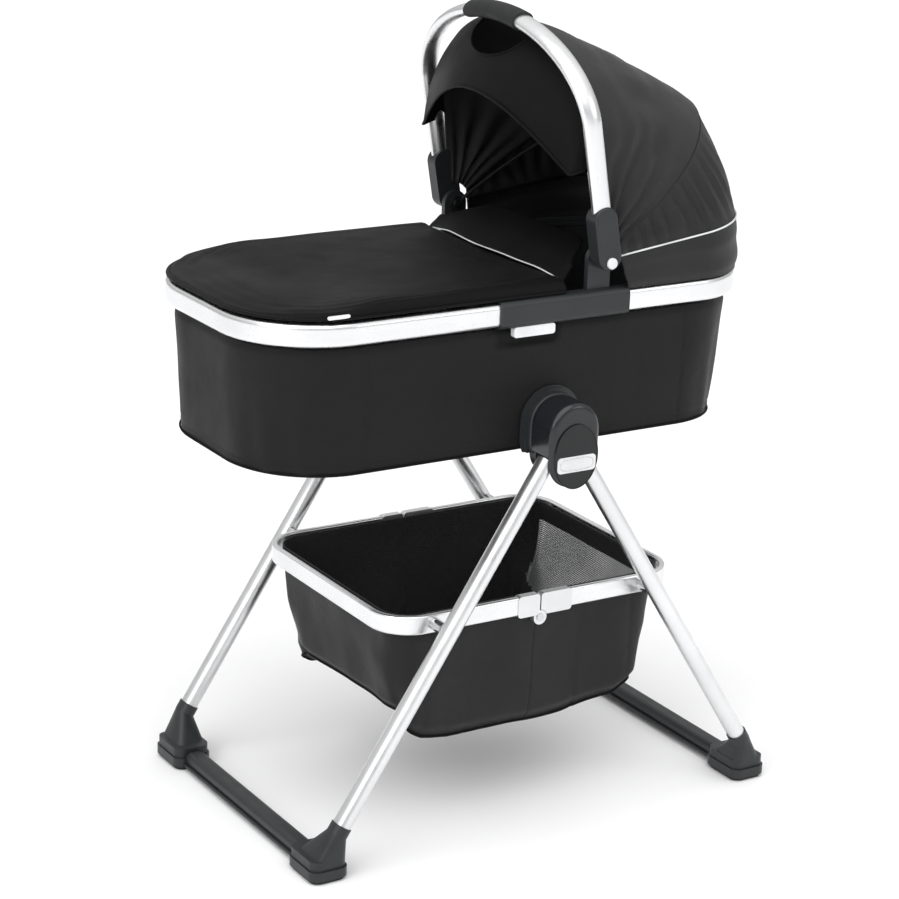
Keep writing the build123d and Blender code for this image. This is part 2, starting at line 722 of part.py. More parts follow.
def canopy_band(angle, reach, shoulder, start, thickness, half_width=canopy_half_width):
    with BuildSketch(bow_plane(angle)) as band:
        with BuildLine():
            Line((-half_width, start), (-half_width, shoulder))
            EllipticalCenterArc((0, shoulder), half_width, reach - shoulder, start_angle=90, arc_size=90)
            EllipticalCenterArc((0, shoulder), half_width, reach - shoulder, start_angle=0, arc_size=90)
            Line((half_width, shoulder), (half_width, start))
            Line((half_width, start), (half_width - thickness, start))
            Line((half_width - thickness, start), (half_width - thickness, shoulder))
            EllipticalCenterArc((0, shoulder), half_width - thickness, reach - shoulder - thickness,
                                start_angle=0, arc_size=90)
            EllipticalCenterArc((0, shoulder), half_width - thickness, reach - shoulder - thickness,
                                start_angle=90, arc_size=90)
            Line((thickness - half_width, shoulder), (thickness - half_width, start))
            Line((thickness - half_width, start), (-half_width, start))
        make_face()
    return band.sketch


roof_cloth = 3.0
with BuildPart() as canopy_roof:
    loft([canopy_band(handle_angle - 4, 300, 160, canopy_foot, roof_cloth),
          canopy_band(72, 279, 130, canopy_foot, roof_cloth),
          canopy_band(bow_angle + 2, 316, 70, canopy_foot, roof_cloth)])
save(canopy_roof, "canopy_roof")

with BuildPart() as canopy_visor:
    loft([canopy_band(handle_angle - 3.5, 300, 160, 90, roof_cloth),
          canopy_band(visor_angle, visor_reach, 130, 110, roof_cloth, canopy_half_width - 6)])
    # hand hole under the grip
    with BuildSketch(bow_plane(handle_angle)):
        with Locations((0, hand_hole_reach)):
            Ellipse(hand_hole_half_width, hand_hole_half_depth)
    extrude(amount=100, both=True, mode=Mode.SUBTRACT)
save(canopy_visor, "canopy_visor")

with BuildPart() as canopy_back:
    loft([canopy_band(bow_angle + 1.6, 316, 70, canopy_foot, roof_cloth),
          canopy_band(20, 304, 95, canopy_foot + 10, roof_cloth),
          canopy_band(piping_angle + 3, 288, 130, canopy_foot + 20, roof_cloth)])
save(canopy_back, "canopy_back")

skirt_low = rail_bottom + rail_height + 0.5
with BuildPart() as canopy_skirt:
    extrude(rim_outline(skirt_low, 4), amount=110)
    extrude(rim_outline(skirt_low, 4 + roof_cloth), amount=110, mode=Mode.SUBTRACT)
    split(bisect_by=Plane.YZ.offset(fairing_head_x + 2), keep=Keep.TOP)
    split(bisect_by=Plane(origin=(swing_x, 0, swing_z - 2), x_dir=(0, 1, 0),
                          z_dir=(-sin(radians(piping_angle)), 0, cos(radians(piping_angle)))),
          keep=Keep.BOTTOM)
save(canopy_skirt, "canopy_skirt")
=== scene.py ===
import math
import bpy
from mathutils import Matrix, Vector, noise
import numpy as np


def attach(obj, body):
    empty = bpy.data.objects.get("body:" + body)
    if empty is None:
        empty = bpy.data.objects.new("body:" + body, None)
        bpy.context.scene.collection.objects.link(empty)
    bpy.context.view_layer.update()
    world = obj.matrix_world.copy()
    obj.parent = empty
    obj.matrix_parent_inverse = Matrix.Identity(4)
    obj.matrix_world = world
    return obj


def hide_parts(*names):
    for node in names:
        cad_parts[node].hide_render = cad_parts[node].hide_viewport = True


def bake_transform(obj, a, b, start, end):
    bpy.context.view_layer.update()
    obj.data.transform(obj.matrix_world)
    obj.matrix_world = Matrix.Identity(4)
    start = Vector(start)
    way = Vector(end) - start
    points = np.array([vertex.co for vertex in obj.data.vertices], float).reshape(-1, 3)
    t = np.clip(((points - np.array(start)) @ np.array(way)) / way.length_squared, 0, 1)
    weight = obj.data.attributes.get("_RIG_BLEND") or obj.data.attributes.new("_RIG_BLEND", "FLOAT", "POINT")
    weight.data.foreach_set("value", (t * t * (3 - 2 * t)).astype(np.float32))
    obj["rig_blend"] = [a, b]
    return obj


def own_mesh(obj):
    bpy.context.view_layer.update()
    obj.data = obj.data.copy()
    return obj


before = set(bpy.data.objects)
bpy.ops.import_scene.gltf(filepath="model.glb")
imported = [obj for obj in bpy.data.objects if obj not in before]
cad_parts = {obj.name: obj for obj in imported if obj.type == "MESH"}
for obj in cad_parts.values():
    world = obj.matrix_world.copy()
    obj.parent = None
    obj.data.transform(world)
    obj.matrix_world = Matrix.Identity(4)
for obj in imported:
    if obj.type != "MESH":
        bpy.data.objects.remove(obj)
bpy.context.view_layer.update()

print("frame loaded with", len(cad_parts), "nodes")

# rim of the bassinet, shared by everything that is sewn to it
rim = {"footX": -0.42645, "headX": 0.39355, "halfWidth": 0.205, "footRadius": 0.140, "headRadius": 0.110}
# cross axis of the handle and both canopy bows
swing = {"x": 0.104, "z": 0.838}
hubX = 0.029
hubMidX = 0.034


# node helpers
def nodeAt(tree, kind, x, y, **values):
    node = tree.nodes.new(kind)
    node.location = (x, y)
    for key, value in values.items():
        setattr(node, key, value)
    return node


def mathNode(tree, operation, a, b=None, x=0, y=0, clamp=False):
    node = nodeAt(tree, "ShaderNodeMath", x, y, operation=operation, use_clamp=clamp)
    for index, value in enumerate((a, b)):
        if value is None:
            continue
        if isinstance(value, (int, float)):
            node.inputs[index].default_value = value
        else:
            tree.links.new(value, node.inputs[index])
    return node.outputs[0]


def newGroup(name, inputs, outputs):
    group = bpy.data.node_groups.new(name, "ShaderNodeTree")
    for label, kind, value in inputs:
        socket = group.interface.new_socket(name=label, in_out="INPUT", socket_type=kind)
        if value is not None:
            socket.default_value = value
    for label, kind in outputs:
        group.interface.new_socket(name=label, in_out="OUTPUT", socket_type=kind)
    return group, nodeAt(group, "NodeGroupInput", -900, 0), nodeAt(group, "NodeGroupOutput", 700, 0)


# plain weave drawn from the UV map, which is in metres; its Shade output is painted shade, darker toward the
# thread edges and the gaps between threads
weaveGroup, wIn, wOut = newGroup("plainWeave", [("Threads", "NodeSocketFloat", 1200.0)],
                                 [("Height", "NodeSocketFloat"), ("Shade", "NodeSocketFloat")])
weaveMap = nodeAt(weaveGroup, "ShaderNodeTexCoord", -900, 300)
weaveSplit = nodeAt(weaveGroup, "ShaderNodeSeparateXYZ", -700, 300)
weaveGroup.links.new(weaveMap.outputs["UV"], weaveSplit.inputs[0])
warp = mathNode(weaveGroup, "MULTIPLY", weaveSplit.outputs[0], wIn.outputs["Threads"], -500, 400)
weft = mathNode(weaveGroup, "MULTIPLY", weaveSplit.outputs[1], wIn.outputs["Threads"], -500, 200)
warpBump = mathNode(weaveGroup, "ABSOLUTE", mathNode(weaveGroup, "SINE", mathNode(
    weaveGroup, "MULTIPLY", warp, math.pi, -350, 400), None, -200, 400), None, -50, 400)
weftBump = mathNode(weaveGroup, "ABSOLUTE", mathNode(weaveGroup, "SINE", mathNode(
    weaveGroup, "MULTIPLY", weft, math.pi, -350, 200), None, -200, 200), None, -50, 200)
overUnder = mathNode(weaveGroup, "MODULO", mathNode(weaveGroup, "ADD", mathNode(
    weaveGroup, "FLOOR", warp, None, -350, 0), mathNode(weaveGroup, "FLOOR", weft, None, -350, -100),
    -200, 0), 2.0, -50, 0)
overUnder = mathNode(weaveGroup, "ABSOLUTE", overUnder, None, 80, 0)
weaveTop = nodeAt(weaveGroup, "ShaderNodeMix", 250, 200)
weaveGroup.links.new(overUnder, weaveTop.inputs[0])
weaveGroup.links.new(warpBump, weaveTop.inputs[2])
weaveGroup.links.new(weftBump, weaveTop.inputs[3])
weaveGroup.links.new(weaveTop.outputs[0], wOut.inputs["Height"])
weaveGroup.links.new(mathNode(weaveGroup, "MULTIPLY_ADD", weaveTop.outputs[0], 0.35, 450, 0),
                     wOut.inputs["Shade"])
weaveGroup.nodes[-1].inputs[2].default_value = 0.65

# slow change of tone over a surface, from its place in the object
toneGroup, tIn, tOut = newGroup(
    "toneDrift", [("Scale", "NodeSocketFloat", 12.0), ("Low", "NodeSocketFloat", 0.85),
                  ("High", "NodeSocketFloat", 1.15), ("Stretch", "NodeSocketVector", (1, 1, 1))],
    [("Factor", "NodeSocketFloat"), ("Raw", "NodeSocketFloat")])
tonePlace = nodeAt(toneGroup, "ShaderNodeTexCoord", -900, 300)
toneStretch = nodeAt(toneGroup, "ShaderNodeVectorMath", -700, 300, operation="MULTIPLY")
toneGroup.links.new(tonePlace.outputs["Object"], toneStretch.inputs[0])
toneGroup.links.new(tIn.outputs["Stretch"], toneStretch.inputs[1])
toneNoise = nodeAt(toneGroup, "ShaderNodeTexNoise", -500, 200)
toneNoise.inputs["Detail"].default_value = 4.0
toneGroup.links.new(toneStretch.outputs[0], toneNoise.inputs["Vector"])
toneGroup.links.new(tIn.outputs["Scale"], toneNoise.inputs["Scale"])
toneRange = nodeAt(toneGroup, "ShaderNodeMapRange", -200, 200)
toneRange.inputs["From Min"].default_value = 0.3
toneRange.inputs["From Max"].default_value = 0.7
toneGroup.links.new(toneNoise.outputs["Fac"], toneRange.inputs["Value"])
toneGroup.links.new(tIn.outputs["Low"], toneRange.inputs["To Min"])
toneGroup.links.new(tIn.outputs["High"], toneRange.inputs["To Max"])
toneGroup.links.new(toneRange.outputs["Result"], tOut.inputs["Factor"])
toneGroup.links.new(toneNoise.outputs["Fac"], tOut.inputs["Raw"])

# round holes of a knitted net, from the UV map
netGroup, nIn, nOut = newGroup("netHoles", [("Holes", "NodeSocketFloat", 300.0),
                                            ("Open", "NodeSocketFloat", 0.35)],
                               [("Solid", "NodeSocketFloat"), ("Height", "NodeSocketFloat")])
netMap = nodeAt(netGroup, "ShaderNodeTexCoord", -900, 300)
netSplit = nodeAt(netGroup, "ShaderNodeSeparateXYZ", -700, 300)
netGroup.links.new(netMap.outputs["UV"], netSplit.inputs[0])
netParts = []
for index in (0, 1):
    turned = mathNode(netGroup, "MULTIPLY", mathNode(netGroup, "MULTIPLY", netSplit.outputs[index],
                                                     nIn.outputs["Holes"], -500, 300 - 200 * index),
                      2 * math.pi, -350, 300 - 200 * index)
    netParts.append(mathNode(netGroup, "SINE", turned, None, -200, 300 - 200 * index))
netWave = mathNode(netGroup, "MULTIPLY", netParts[0], netParts[1], 0, 200)
netGroup.links.new(mathNode(netGroup, "LESS_THAN", netWave, nIn.outputs["Open"], 200, 200),
                   nOut.inputs["Solid"])
netGroup.links.new(mathNode(netGroup, "SUBTRACT", 1.0, netWave, 200, 0), nOut.inputs["Height"])


# materials
def startMaterial(name, color, roughness, **extra):
    material = bpy.data.materials.new(name)
    material.use_nodes = True
    tree = material.node_tree
    shader = tree.nodes["Principled BSDF"]
    shader.inputs["Base Color"].default_value = (*color, 1)
    shader.inputs["Roughness"].default_value = roughness
    for key, value in extra.items():
        label = "".join(" " + c if c.isupper() else c for c in key)
        label = label[0].upper() + label[1:]
        shader.inputs[label.replace("I O R", "IOR")].default_value = value
    return material, tree, shader


def addGroup(tree, group, x, y, **values):
    node = nodeAt(tree, "ShaderNodeGroup", x, y)
    node.node_tree = group
    for key, value in values.items():
        node.inputs[key].default_value = value
    return node


def tintBy(tree, shader, color, *factors):
    # base colour times one or more changing factors
    last = None
    for index, factor in enumerate(factors):
        mix = nodeAt(tree, "ShaderNodeVectorMath", -350 + 120 * index, 300, operation="SCALE")
        if last is None:
            mix.inputs[0].default_value = color
        else:
            tree.links.new(last, mix.inputs[0])
        tree.links.new(factor, mix.inputs["Scale"])
        last = mix.outputs[0]
    tree.links.new(last, shader.inputs["Base Color"])


def bumpFrom(tree, shader, heights):
    last = None
    for index, (height, distance, strength) in enumerate(heights):
        bump = nodeAt(tree, "ShaderNodeBump", -400 + 180 * index, -300)
        bump.inputs["Strength"].default_value = strength
        bump.inputs["Distance"].default_value = distance
        tree.links.new(height, bump.inputs["Height"])
        if last is not None:
            tree.links.new(last, bump.inputs["Normal"])
        last = bump.outputs[0]
    tree.links.new(last, shader.inputs["Normal"])


fabrics = {
    "shellNylon": {"color": (0.0100, 0.0100, 0.0105), "rough": 0.50, "gloss": 0.15, "sheen": 0.02,
                   "threads": 1250,
                   "drift": 9},
    "canopyNylon": {"color": (0.0175, 0.0175, 0.0178), "rough": 0.48, "gloss": 0.26, "sheen": 0.03,
                    "threads": 1250, "drift": 11},
    "apronNylon": {"color": (0.0050, 0.0048, 0.0048), "rough": 0.48, "gloss": 0.09, "sheen": 0.01,
                   "threads": 1250,
                   "drift": 8},
    "basketNylon": {"color": (0.0105, 0.0105, 0.0108), "rough": 0.44, "gloss": 0.24, "sheen": 0.02,
                    "threads": 1000, "drift": 10},
    "linerKnit": {"color": (0.030, 0.032, 0.034), "rough": 0.9, "gloss": 0.15, "sheen": 0.08, "threads": 700,
                  "drift": 14},
}


def makeFabric(name, color, rough, gloss, sheen, threads, drift):
    material, tree, shader = startMaterial(name, color, rough, specularIORLevel=gloss, sheenWeight=sheen,
                                           sheenRoughness=0.4)
    weave = addGroup(tree, weaveGroup, -700, 100, Threads=float(threads))
    tone = addGroup(tree, toneGroup, -700, 350, Scale=float(drift), Low=0.82, High=1.2)
    crease = addGroup(tree, toneGroup, -700, -200, Scale=34.0, Low=0.0, High=1.0)
    # base colour times the random tone and the weave's painted shade between threads
    tintBy(tree, shader, color, tone.outputs["Factor"], weave.outputs["Shade"])
    roughTone = mathNode(tree, "MULTIPLY", tone.outputs["Factor"], rough, -300, 50)
    tree.links.new(roughTone, shader.inputs["Roughness"])
    bumpFrom(tree, shader, [(crease.outputs["Raw"], 0.0035, 0.35), (weave.outputs["Height"], 0.0003, 0.5)])
    return material


cloths = {name: makeFabric(name, **values) for name, values in fabrics.items()}


def makeMetal(name, color, rough, stretch):
    # satin anodised: fine grain along one way, slight change of tone, faint handling marks
    material, tree, shader = startMaterial(name, color, rough, metallic=1.0)
    grain = addGroup(tree, toneGroup, -700, 100, Scale=60.0, Low=0.86, High=1.14, Stretch=stretch)
    drift = addGroup(tree, toneGroup, -700, 350, Scale=7.0, Low=0.94, High=1.05)
    marks = addGroup(tree, toneGroup, -700, -150, Scale=38.0, Low=0.9, High=1.12)
    tintBy(tree, shader, color, drift.outputs["Factor"])
    smear = mathNode(tree, "MULTIPLY", grain.outputs["Factor"], marks.outputs["Factor"], -500, 0)
    tree.links.new(mathNode(tree, "MULTIPLY", smear, rough, -300, 0), shader.inputs["Roughness"])
    bumpFrom(tree, shader, [(grain.outputs["Raw"], 0.00012, 0.5)])
    return material


def makePlastic(name, color, rough, pebble=900.0, coat=0.0, depth=0.00025):
    material, tree, shader = startMaterial(name, color, rough, coatWeight=coat, specularIORLevel=0.35)
    tone = addGroup(tree, toneGroup, -700, 350, Scale=16.0, Low=0.88, High=1.12)
    grain = addGroup(tree, toneGroup, -700, 0, Scale=pebble, Low=0.9, High=1.1)
    rub = addGroup(tree, toneGroup, -700, -250, Scale=48.0, Low=0.86, High=1.1)
    tintBy(tree, shader, color, tone.outputs["Factor"], grain.outputs["Factor"])
    tree.links.new(mathNode(tree, "MULTIPLY", rub.outputs["Factor"], rough, -300, 0),
                   shader.inputs["Roughness"])
    bumpFrom(tree, shader, [(grain.outputs["Raw"], depth, 0.6)])
    return material


tubeMetal = makeMetal("satinTube", (0.80, 0.805, 0.81), 0.30, (1.0, 1.0, 0.05))
railMetal = makeMetal("satinRail", (0.80, 0.805, 0.81), 0.28, (0.06, 1.0, 1.0))
legMetal = makeMetal("satinLeg", (0.78, 0.785, 0.79), 0.32, (1.0, 1.0, 0.06))
steelMetal = makeMetal("zincSteel", (0.62, 0.62, 0.63), 0.22, (1.0, 1.0, 1.0))
castMetal = makeMetal("castKnuckle", (0.74, 0.745, 0.75), 0.36, (1.0, 1.0, 1.0))
darkPlastic = makePlastic("darkPlastic", (0.020, 0.0225, 0.0235), 0.40)
gripPlastic = makePlastic("gripFoam", (0.013, 0.0135, 0.014), 0.7, 600.0, 0.0, 0.0004)
blackPlastic = makePlastic("blackPlastic", (0.010, 0.011, 0.0115), 0.36)
hubGloss = makePlastic("hubGloss", (0.013, 0.0145, 0.0165), 0.22, 900.0, 0.2, 0.0001)
lightPlastic = makePlastic("lightPlastic", (0.70, 0.71, 0.72), 0.38)
footRubber = makePlastic("footRubber", (0.014, 0.0145, 0.015), 0.5, 500.0)
boardFibre = makePlastic("boardFibre", (0.035, 0.034, 0.033), 0.8, 260.0, 0.0, 0.0005)
pipingSilver = makePlastic("pipingSilver", (0.66, 0.67, 0.68), 0.35, 1500.0)

mattressCloth, mTree, mShader = startMaterial("mattressQuilt", (0.30, 0.30, 0.31), 0.9, sheenWeight=0.3)
mPlace = nodeAt(mTree, "ShaderNodeTexCoord", -1100, 0)
mSplit = nodeAt(mTree, "ShaderNodeSeparateXYZ", -950, 0)
mTree.links.new(mPlace.outputs["Object"], mSplit.inputs[0])
quiltLines = []
for sign in (1.0, -1.0):
    diagonal = mathNode(mTree, "MULTIPLY_ADD", mSplit.outputs[1], sign, -800, 100 * sign)
    mTree.links.new(mSplit.outputs[0], mTree.nodes[-1].inputs[2])
    quiltLines.append(mathNode(mTree, "ABSOLUTE", mathNode(mTree, "SINE", mathNode(
        mTree, "MULTIPLY", diagonal, 56.0, -650, 100 * sign), None, -500, 100 * sign), None, -400,
        100 * sign))
quilt = mathNode(mTree, "POWER", mathNode(mTree, "MINIMUM", quiltLines[0], quiltLines[1], -300, 0), 0.4,
                 -200, 0)
mTone = addGroup(mTree, toneGroup, -700, 400, Scale=12.0, Low=0.9, High=1.08)
tintBy(mTree, mShader, (0.30, 0.30, 0.31), mTone.outputs["Factor"])
bumpFrom(mTree, mShader, [(quilt, 0.004, 0.8)])

netCloth, nTree, nShader = startMaterial("basketNet", (0.16, 0.168, 0.165), 0.7)
netNode = addGroup(nTree, netGroup, -700, 0, Holes=230.0, Open=0.22)
netTone = addGroup(nTree, toneGroup, -700, 350, Scale=18.0, Low=0.75, High=1.25)
tintBy(nTree, nShader, (0.16, 0.168, 0.165), netTone.outputs["Factor"])
nTree.links.new(netNode.outputs["Solid"], nShader.inputs["Alpha"])
bumpFrom(nTree, nShader, [(netNode.outputs["Height"], 0.0006, 0.6)])

innerNet, iTree, iShader = startMaterial("innerNet", (0.022, 0.022, 0.023), 0.75)
innerNode = addGroup(iTree, netGroup, -700, 0, Holes=260.0, Open=0.35)
# the net's holes are painted near black: the dark backing cloth deepened by painted shade, with the threads
# at their own colour
innerHoleShadeMix = nodeAt(iTree, "ShaderNodeMix", -350, 200, data_type="RGBA")
innerHoleShadeMix.inputs["A"].default_value = (0.003, 0.003, 0.003, 1)
innerHoleShadeMix.inputs["B"].default_value = (0.017, 0.017, 0.0175, 1)
iTree.links.new(innerNode.outputs["Solid"], innerHoleShadeMix.inputs["Factor"])
iTree.links.new(innerHoleShadeMix.outputs["Result"], iShader.inputs["Base Color"])
bumpFrom(iTree, iShader, [(innerNode.outputs["Height"], 0.0006, 0.8)])
print("materials made")

# finish of every CAD piece that stays in sight
finishes = {
    "rim_rail_foot": railMetal, "rim_rail_head": railMetal, "handle_tube": tubeMetal,
    "leg_foot_near": legMetal, "leg_foot_far": legMetal, "leg_head_near": legMetal, "leg_head_far": legMetal,
    "basket_frame_foot": railMetal, "basket_frame_head": railMetal,
    "basket_knuckles_foot": castMetal, "basket_knuckles_head": castMetal,
    "basket_hinge_pins": steelMetal, "basket_screws_foot": steelMetal, "basket_screws_head": steelMetal,
    "basket_pins_foot": steelMetal, "basket_pins_head": steelMetal, "leg_pivot_pins": steelMetal,
    "handle_pivot_pins": steelMetal, "rear_bow_rod": blackPlastic,
    "button_spring_near": steelMetal, "button_spring_far": steelMetal,
    "hub_badges": lightPlastic, "release_lever_near": lightPlastic, "release_lever_far": lightPlastic,
    "handle_button_near": lightPlastic, "handle_button_far": lightPlastic, "apron_zip_pull": lightPlastic,
    "handle_grip": gripPlastic, "hub_covers": blackPlastic, "hub_housing_near": hubGloss,
    "hub_housing_far": hubGloss, "hub_backs": blackPlastic, "dock_arches": darkPlastic,
    "foot_pads_foot": footRubber, "foot_pads_head": footRubber, "tub_base": boardFibre,
}
for nodeName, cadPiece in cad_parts.items():
    cadPiece.data.materials.clear()
    cadPiece.data.materials.append(finishes.get(nodeName, darkPlastic))


# mesh helpers
def smoothStep(a, b, value):
    t = min(1.0, max(0.0, (value - a) / (b - a)))
    return t * t * (3 - 2 * t)


def ripple(x, y, z=0.0):
    return noise.noise(Vector((x, y, z)))


def newPiece(name, points, faces, material, corners=None):
    mesh = bpy.data.meshes.new(name)
    mesh.from_pydata([tuple(p) for p in points], [], faces)
    if corners is not None:
        layer = mesh.uv_layers.new(name="UVMap")
        layer.data.foreach_set("uv", [c for corner in corners for c in corner])
    mesh.polygons.foreach_set("use_smooth", [True] * len(mesh.polygons))
    mesh.materials.append(material)
    piece = bpy.data.objects.new(name, mesh)
    bpy.context.scene.collection.objects.link(piece)
    return piece


def clothGrid(name, rows, material, closed=False, flip=False):
    # rows of points joined into one surface, with a UV map in metres
    count = len(rows[0])
    middle = rows[len(rows) // 2]
    across = [0.0]
    for i in range(1, count + (1 if closed else 0)):
        across.append(across[-1] + (middle[i % count] - middle[i - 1]).length)
    spine = count // 2
    down = [0.0]
    for j in range(1, len(rows)):
        down.append(down[-1] + max((rows[j][spine] - rows[j - 1][spine]).length,
                                   (rows[j][0] - rows[j - 1][0]).length))
    faces, corners = [], []
    for j in range(len(rows) - 1):
        for i in range(count if closed else count - 1):
            k = (i + 1) % count
            face = [j * count + i, j * count + k, (j + 1) * count + k, (j + 1) * count + i]
            corner = [(across[i], down[j]), (across[i + 1], down[j]),
                      (across[i + 1], down[j + 1]), (across[i], down[j + 1])]
            faces.append(tuple(reversed(face)) if flip else tuple(face))
            corners.extend(reversed(corner) if flip else corner)
    return newPiece(name, [p for row in rows for p in row], faces, material, corners)


def keepResult(piece):
    # leaves only the finished mesh, with no modifier on it
    graph = bpy.context.evaluated_depsgraph_get()
    graph.update()
    mesh = bpy.data.meshes.new_from_object(piece.evaluated_get(graph), preserve_all_data_layers=True,
                                           depsgraph=graph)
    piece.modifiers.clear()
    piece.data = mesh
    mesh.name = piece.name
    return piece


def thicken(piece, thickness, offset=-1.0, insideSlot=0, rimSlot=0):
    step = piece.modifiers.new("thickness", "SOLIDIFY")
    step.thickness = thickness
    step.offset = offset
    step.use_even_offset = False
    step.material_offset = insideSlot
    step.material_offset_rim = rimSlot
    return keepResult(piece)


def tubeAlong(name, path, radius, material, closed=False, sides=8, flat=1.0):
    # round or flattened bead along a line of points
    points, faces, corners = [], [], []
    count = len(path)
    run = 0.0
    runs = []
    side = None
    for i, place in enumerate(path):
        ahead = path[(i + 1) % count] if closed or i < count - 1 else place
        behind = path[i - 1] if closed or i > 0 else place
        along = (ahead - behind).normalized()
        if side is None:
            side = along.cross(Vector((0, 0, 1)))
            if side.length < 0.1:
                side = along.cross(Vector((0, 1, 0)))
        side = (side - along * side.dot(along)).normalized()
        up = side.cross(along)
        for k in range(sides):
            turn = 2 * math.pi * k / sides
            points.append(place + side * (radius * math.cos(turn)) + up * (radius * flat * math.sin(turn)))
        runs.append(run)
        run += (ahead - place).length
    runs.append(run)
    for i in range(count if closed else count - 1):
        j = (i + 1) % count
        for k in range(sides):
            m = (k + 1) % sides
            faces.append((i * sides + k, i * sides + m, j * sides + m, j * sides + k))
            corners += [(runs[i], k * radius), (runs[i], (k + 1) * radius),
                        (runs[i + 1], (k + 1) * radius), (runs[i + 1], k * radius)]
    if not closed:
        faces.append(tuple(reversed(range(sides))))
        corners += [(0, 0)] * sides
        faces.append(tuple((count - 1) * sides + k for k in range(sides)))
        corners += [(0, 0)] * sides
    return newPiece(name, points, faces, material, corners)


def outlineLoop(z, footX, headX, halfWidth, footRadius, headRadius, sideCount, cornerCount, endCount):
    # once round a rounded outline, from the near side's foot end towards the head end
    def line(a, b, n):
        return [a.lerp(b, i / n) for i in range(n)]

    def arc(x, y, radius, start, n):
        return [Vector((x + radius * math.cos(math.radians(start + 90 * i / n)),
                        y + radius * math.sin(math.radians(start + 90 * i / n)), z)) for i in range(n)]

    def spot(x, y):
        return Vector((x, y, z))

    f, h, w = footX + footRadius, headX - headRadius, halfWidth
    return (line(spot(f, -w), spot(h, -w), sideCount) + arc(h, headRadius - w, headRadius, -90, cornerCount)
            + line(spot(headX, headRadius - w), spot(headX, w - headRadius), endCount)
            + arc(h, w - headRadius, headRadius, 0, cornerCount) + line(spot(h, w), spot(f, w), sideCount)
            + arc(f, w - footRadius, footRadius, 90, cornerCount)
            + line(spot(footX, w - footRadius), spot(footX, footRadius - w), endCount)
            + arc(f, footRadius - w, footRadius, 180, cornerCount))


def outwardAt(loop, i):
    ahead = loop[(i + 1) % len(loop)] - loop[i - 1]
    return Vector((ahead.y, -ahead.x, 0)).normalized()


def rimLoop(z, inset, sideCount=60, cornerCount=22, endCount=16):
    return outlineLoop(z, rim["footX"] + inset, rim["headX"] - inset, rim["halfWidth"] - inset,
                       rim["footRadius"] - inset, rim["headRadius"] - inset, sideCount, cornerCount, endCount)


def resample(path, count):
    # count points evenly spaced along a line of points
    lengths = [0.0]
    for a, b in zip(path, path[1:]):
        lengths.append(lengths[-1] + (b - a).length)
    result, j = [], 0
    for i in range(count):
        goal = lengths[-1] * i / (count - 1)
        while j < len(path) - 2 and lengths[j + 1] < goal:
            j += 1
        span = lengths[j + 1] - lengths[j]
        result.append(path[j].lerp(path[j + 1], (goal - lengths[j]) / span if span else 0.0))
    return result


def puff(piece, pressure, cap, voxel=0.006, frames=20):
    # lets air into a closed pad and keeps the swollen shape
    step = piece.modifiers.new("even", "REMESH")
    step.mode = "VOXEL"
    step.voxel_size = voxel
    keepResult(piece)
    start = [v.co.copy() for v in piece.data.vertices]
    cloth = piece.modifiers.new("cloth", "CLOTH")
    cloth.settings.use_pressure = True
    cloth.settings.uniform_pressure_force = pressure
    cloth.settings.effector_weights.gravity = 0
    cloth.settings.quality = 5
    cloth.point_cache.frame_end = frames
    for number in range(1, frames + 1):
        bpy.context.scene.frame_set(number)
    keepResult(piece)
    bpy.context.scene.frame_set(1)
    for vertex, home in zip(piece.data.vertices, start):
        move = vertex.co - home
        if move.length > cap:
            vertex.co = home + move * (cap / move.length)
    piece.data.polygons.foreach_set("use_smooth", [True] * len(piece.data.polygons))


# tub: outer shell with its finger recess under the release lever
tub = {"low": 0.571, "top": 0.7545, "rows": 50, "wall": 0.0022, "side": 150, "corner": 30, "end": 34,
       "recessFoot": -0.073, "recessHead": 0.042, "recessLow": 0.726, "recessDepth": 0.0085,
       "hemHeight": 0.015, "cornerFold": 0.0017}


def tubLoop(z, inset):
    rise = (z - tub["low"]) / 0.187
    return outlineLoop(z, -0.408 - 0.008 * rise + inset, 0.370 + 0.014 * rise - inset,
                       0.190 + 0.005 * rise - inset, 0.134 - inset, 0.106 - inset,
                       tub["side"], tub["corner"], tub["end"])


def shellPush(place, outward):
    # how far the cloth stands out from the smooth tub, in metres
    x, y, z = place
    high = (z - tub["low"]) / (tub["top"] - tub["low"])
    atCorner = smoothStep(0.15, 0.6, abs(outward.x)) * smoothStep(0.15, 0.6, abs(outward.y))
    around = math.atan2(y, x)
    folds = math.sin(around * 46 + 3 * ripple(x * 4, y * 4, z * 6)) * atCorner * tub["cornerFold"]
    folds *= 0.35 + 0.65 * smoothStep(0.9, 0.2, high)
    swell = 0.0014 * ripple(x * 7 + 3, y * 7, z * 11) + 0.0007 * ripple(x * 24, y * 24, z * 17)
    drape = 0.0016 * ripple(x * 13, y * 13, z * 2.2 + 5) * smoothStep(0.0, 0.25, high)
    hem = -0.0011 * math.exp(-((z - tub["low"] - tub["hemHeight"]) / 0.0013) ** 2)
    topTuck = -0.004 * smoothStep(0.93, 1.0, high)
    seam = 0.0
    for seamX in (-0.262, 0.262):
        seam -= 0.0010 * math.exp(-((x - seamX) / 0.0022) ** 2) * smoothStep(0.5, 0.9, abs(outward.y))
    recess = 0.0
    if abs(outward.y) > 0.9:
        along = smoothStep(tub["recessFoot"], tub["recessFoot"] + 0.030, x) * smoothStep(
            tub["recessHead"] + 0.002, tub["recessHead"] - 0.003, x)
        recess = -tub["recessDepth"] * along * smoothStep(tub["recessLow"] - 0.004,
                                                          tub["recessLow"] + 0.004, z)
        dock = math.hypot(x - hubMidX, max(0.0, z - 0.612))
        swell *= smoothStep(0.045, 0.075, dock)
        drape *= smoothStep(0.045, 0.075, dock)
    return folds + swell + drape + hem + topTuck + seam + recess


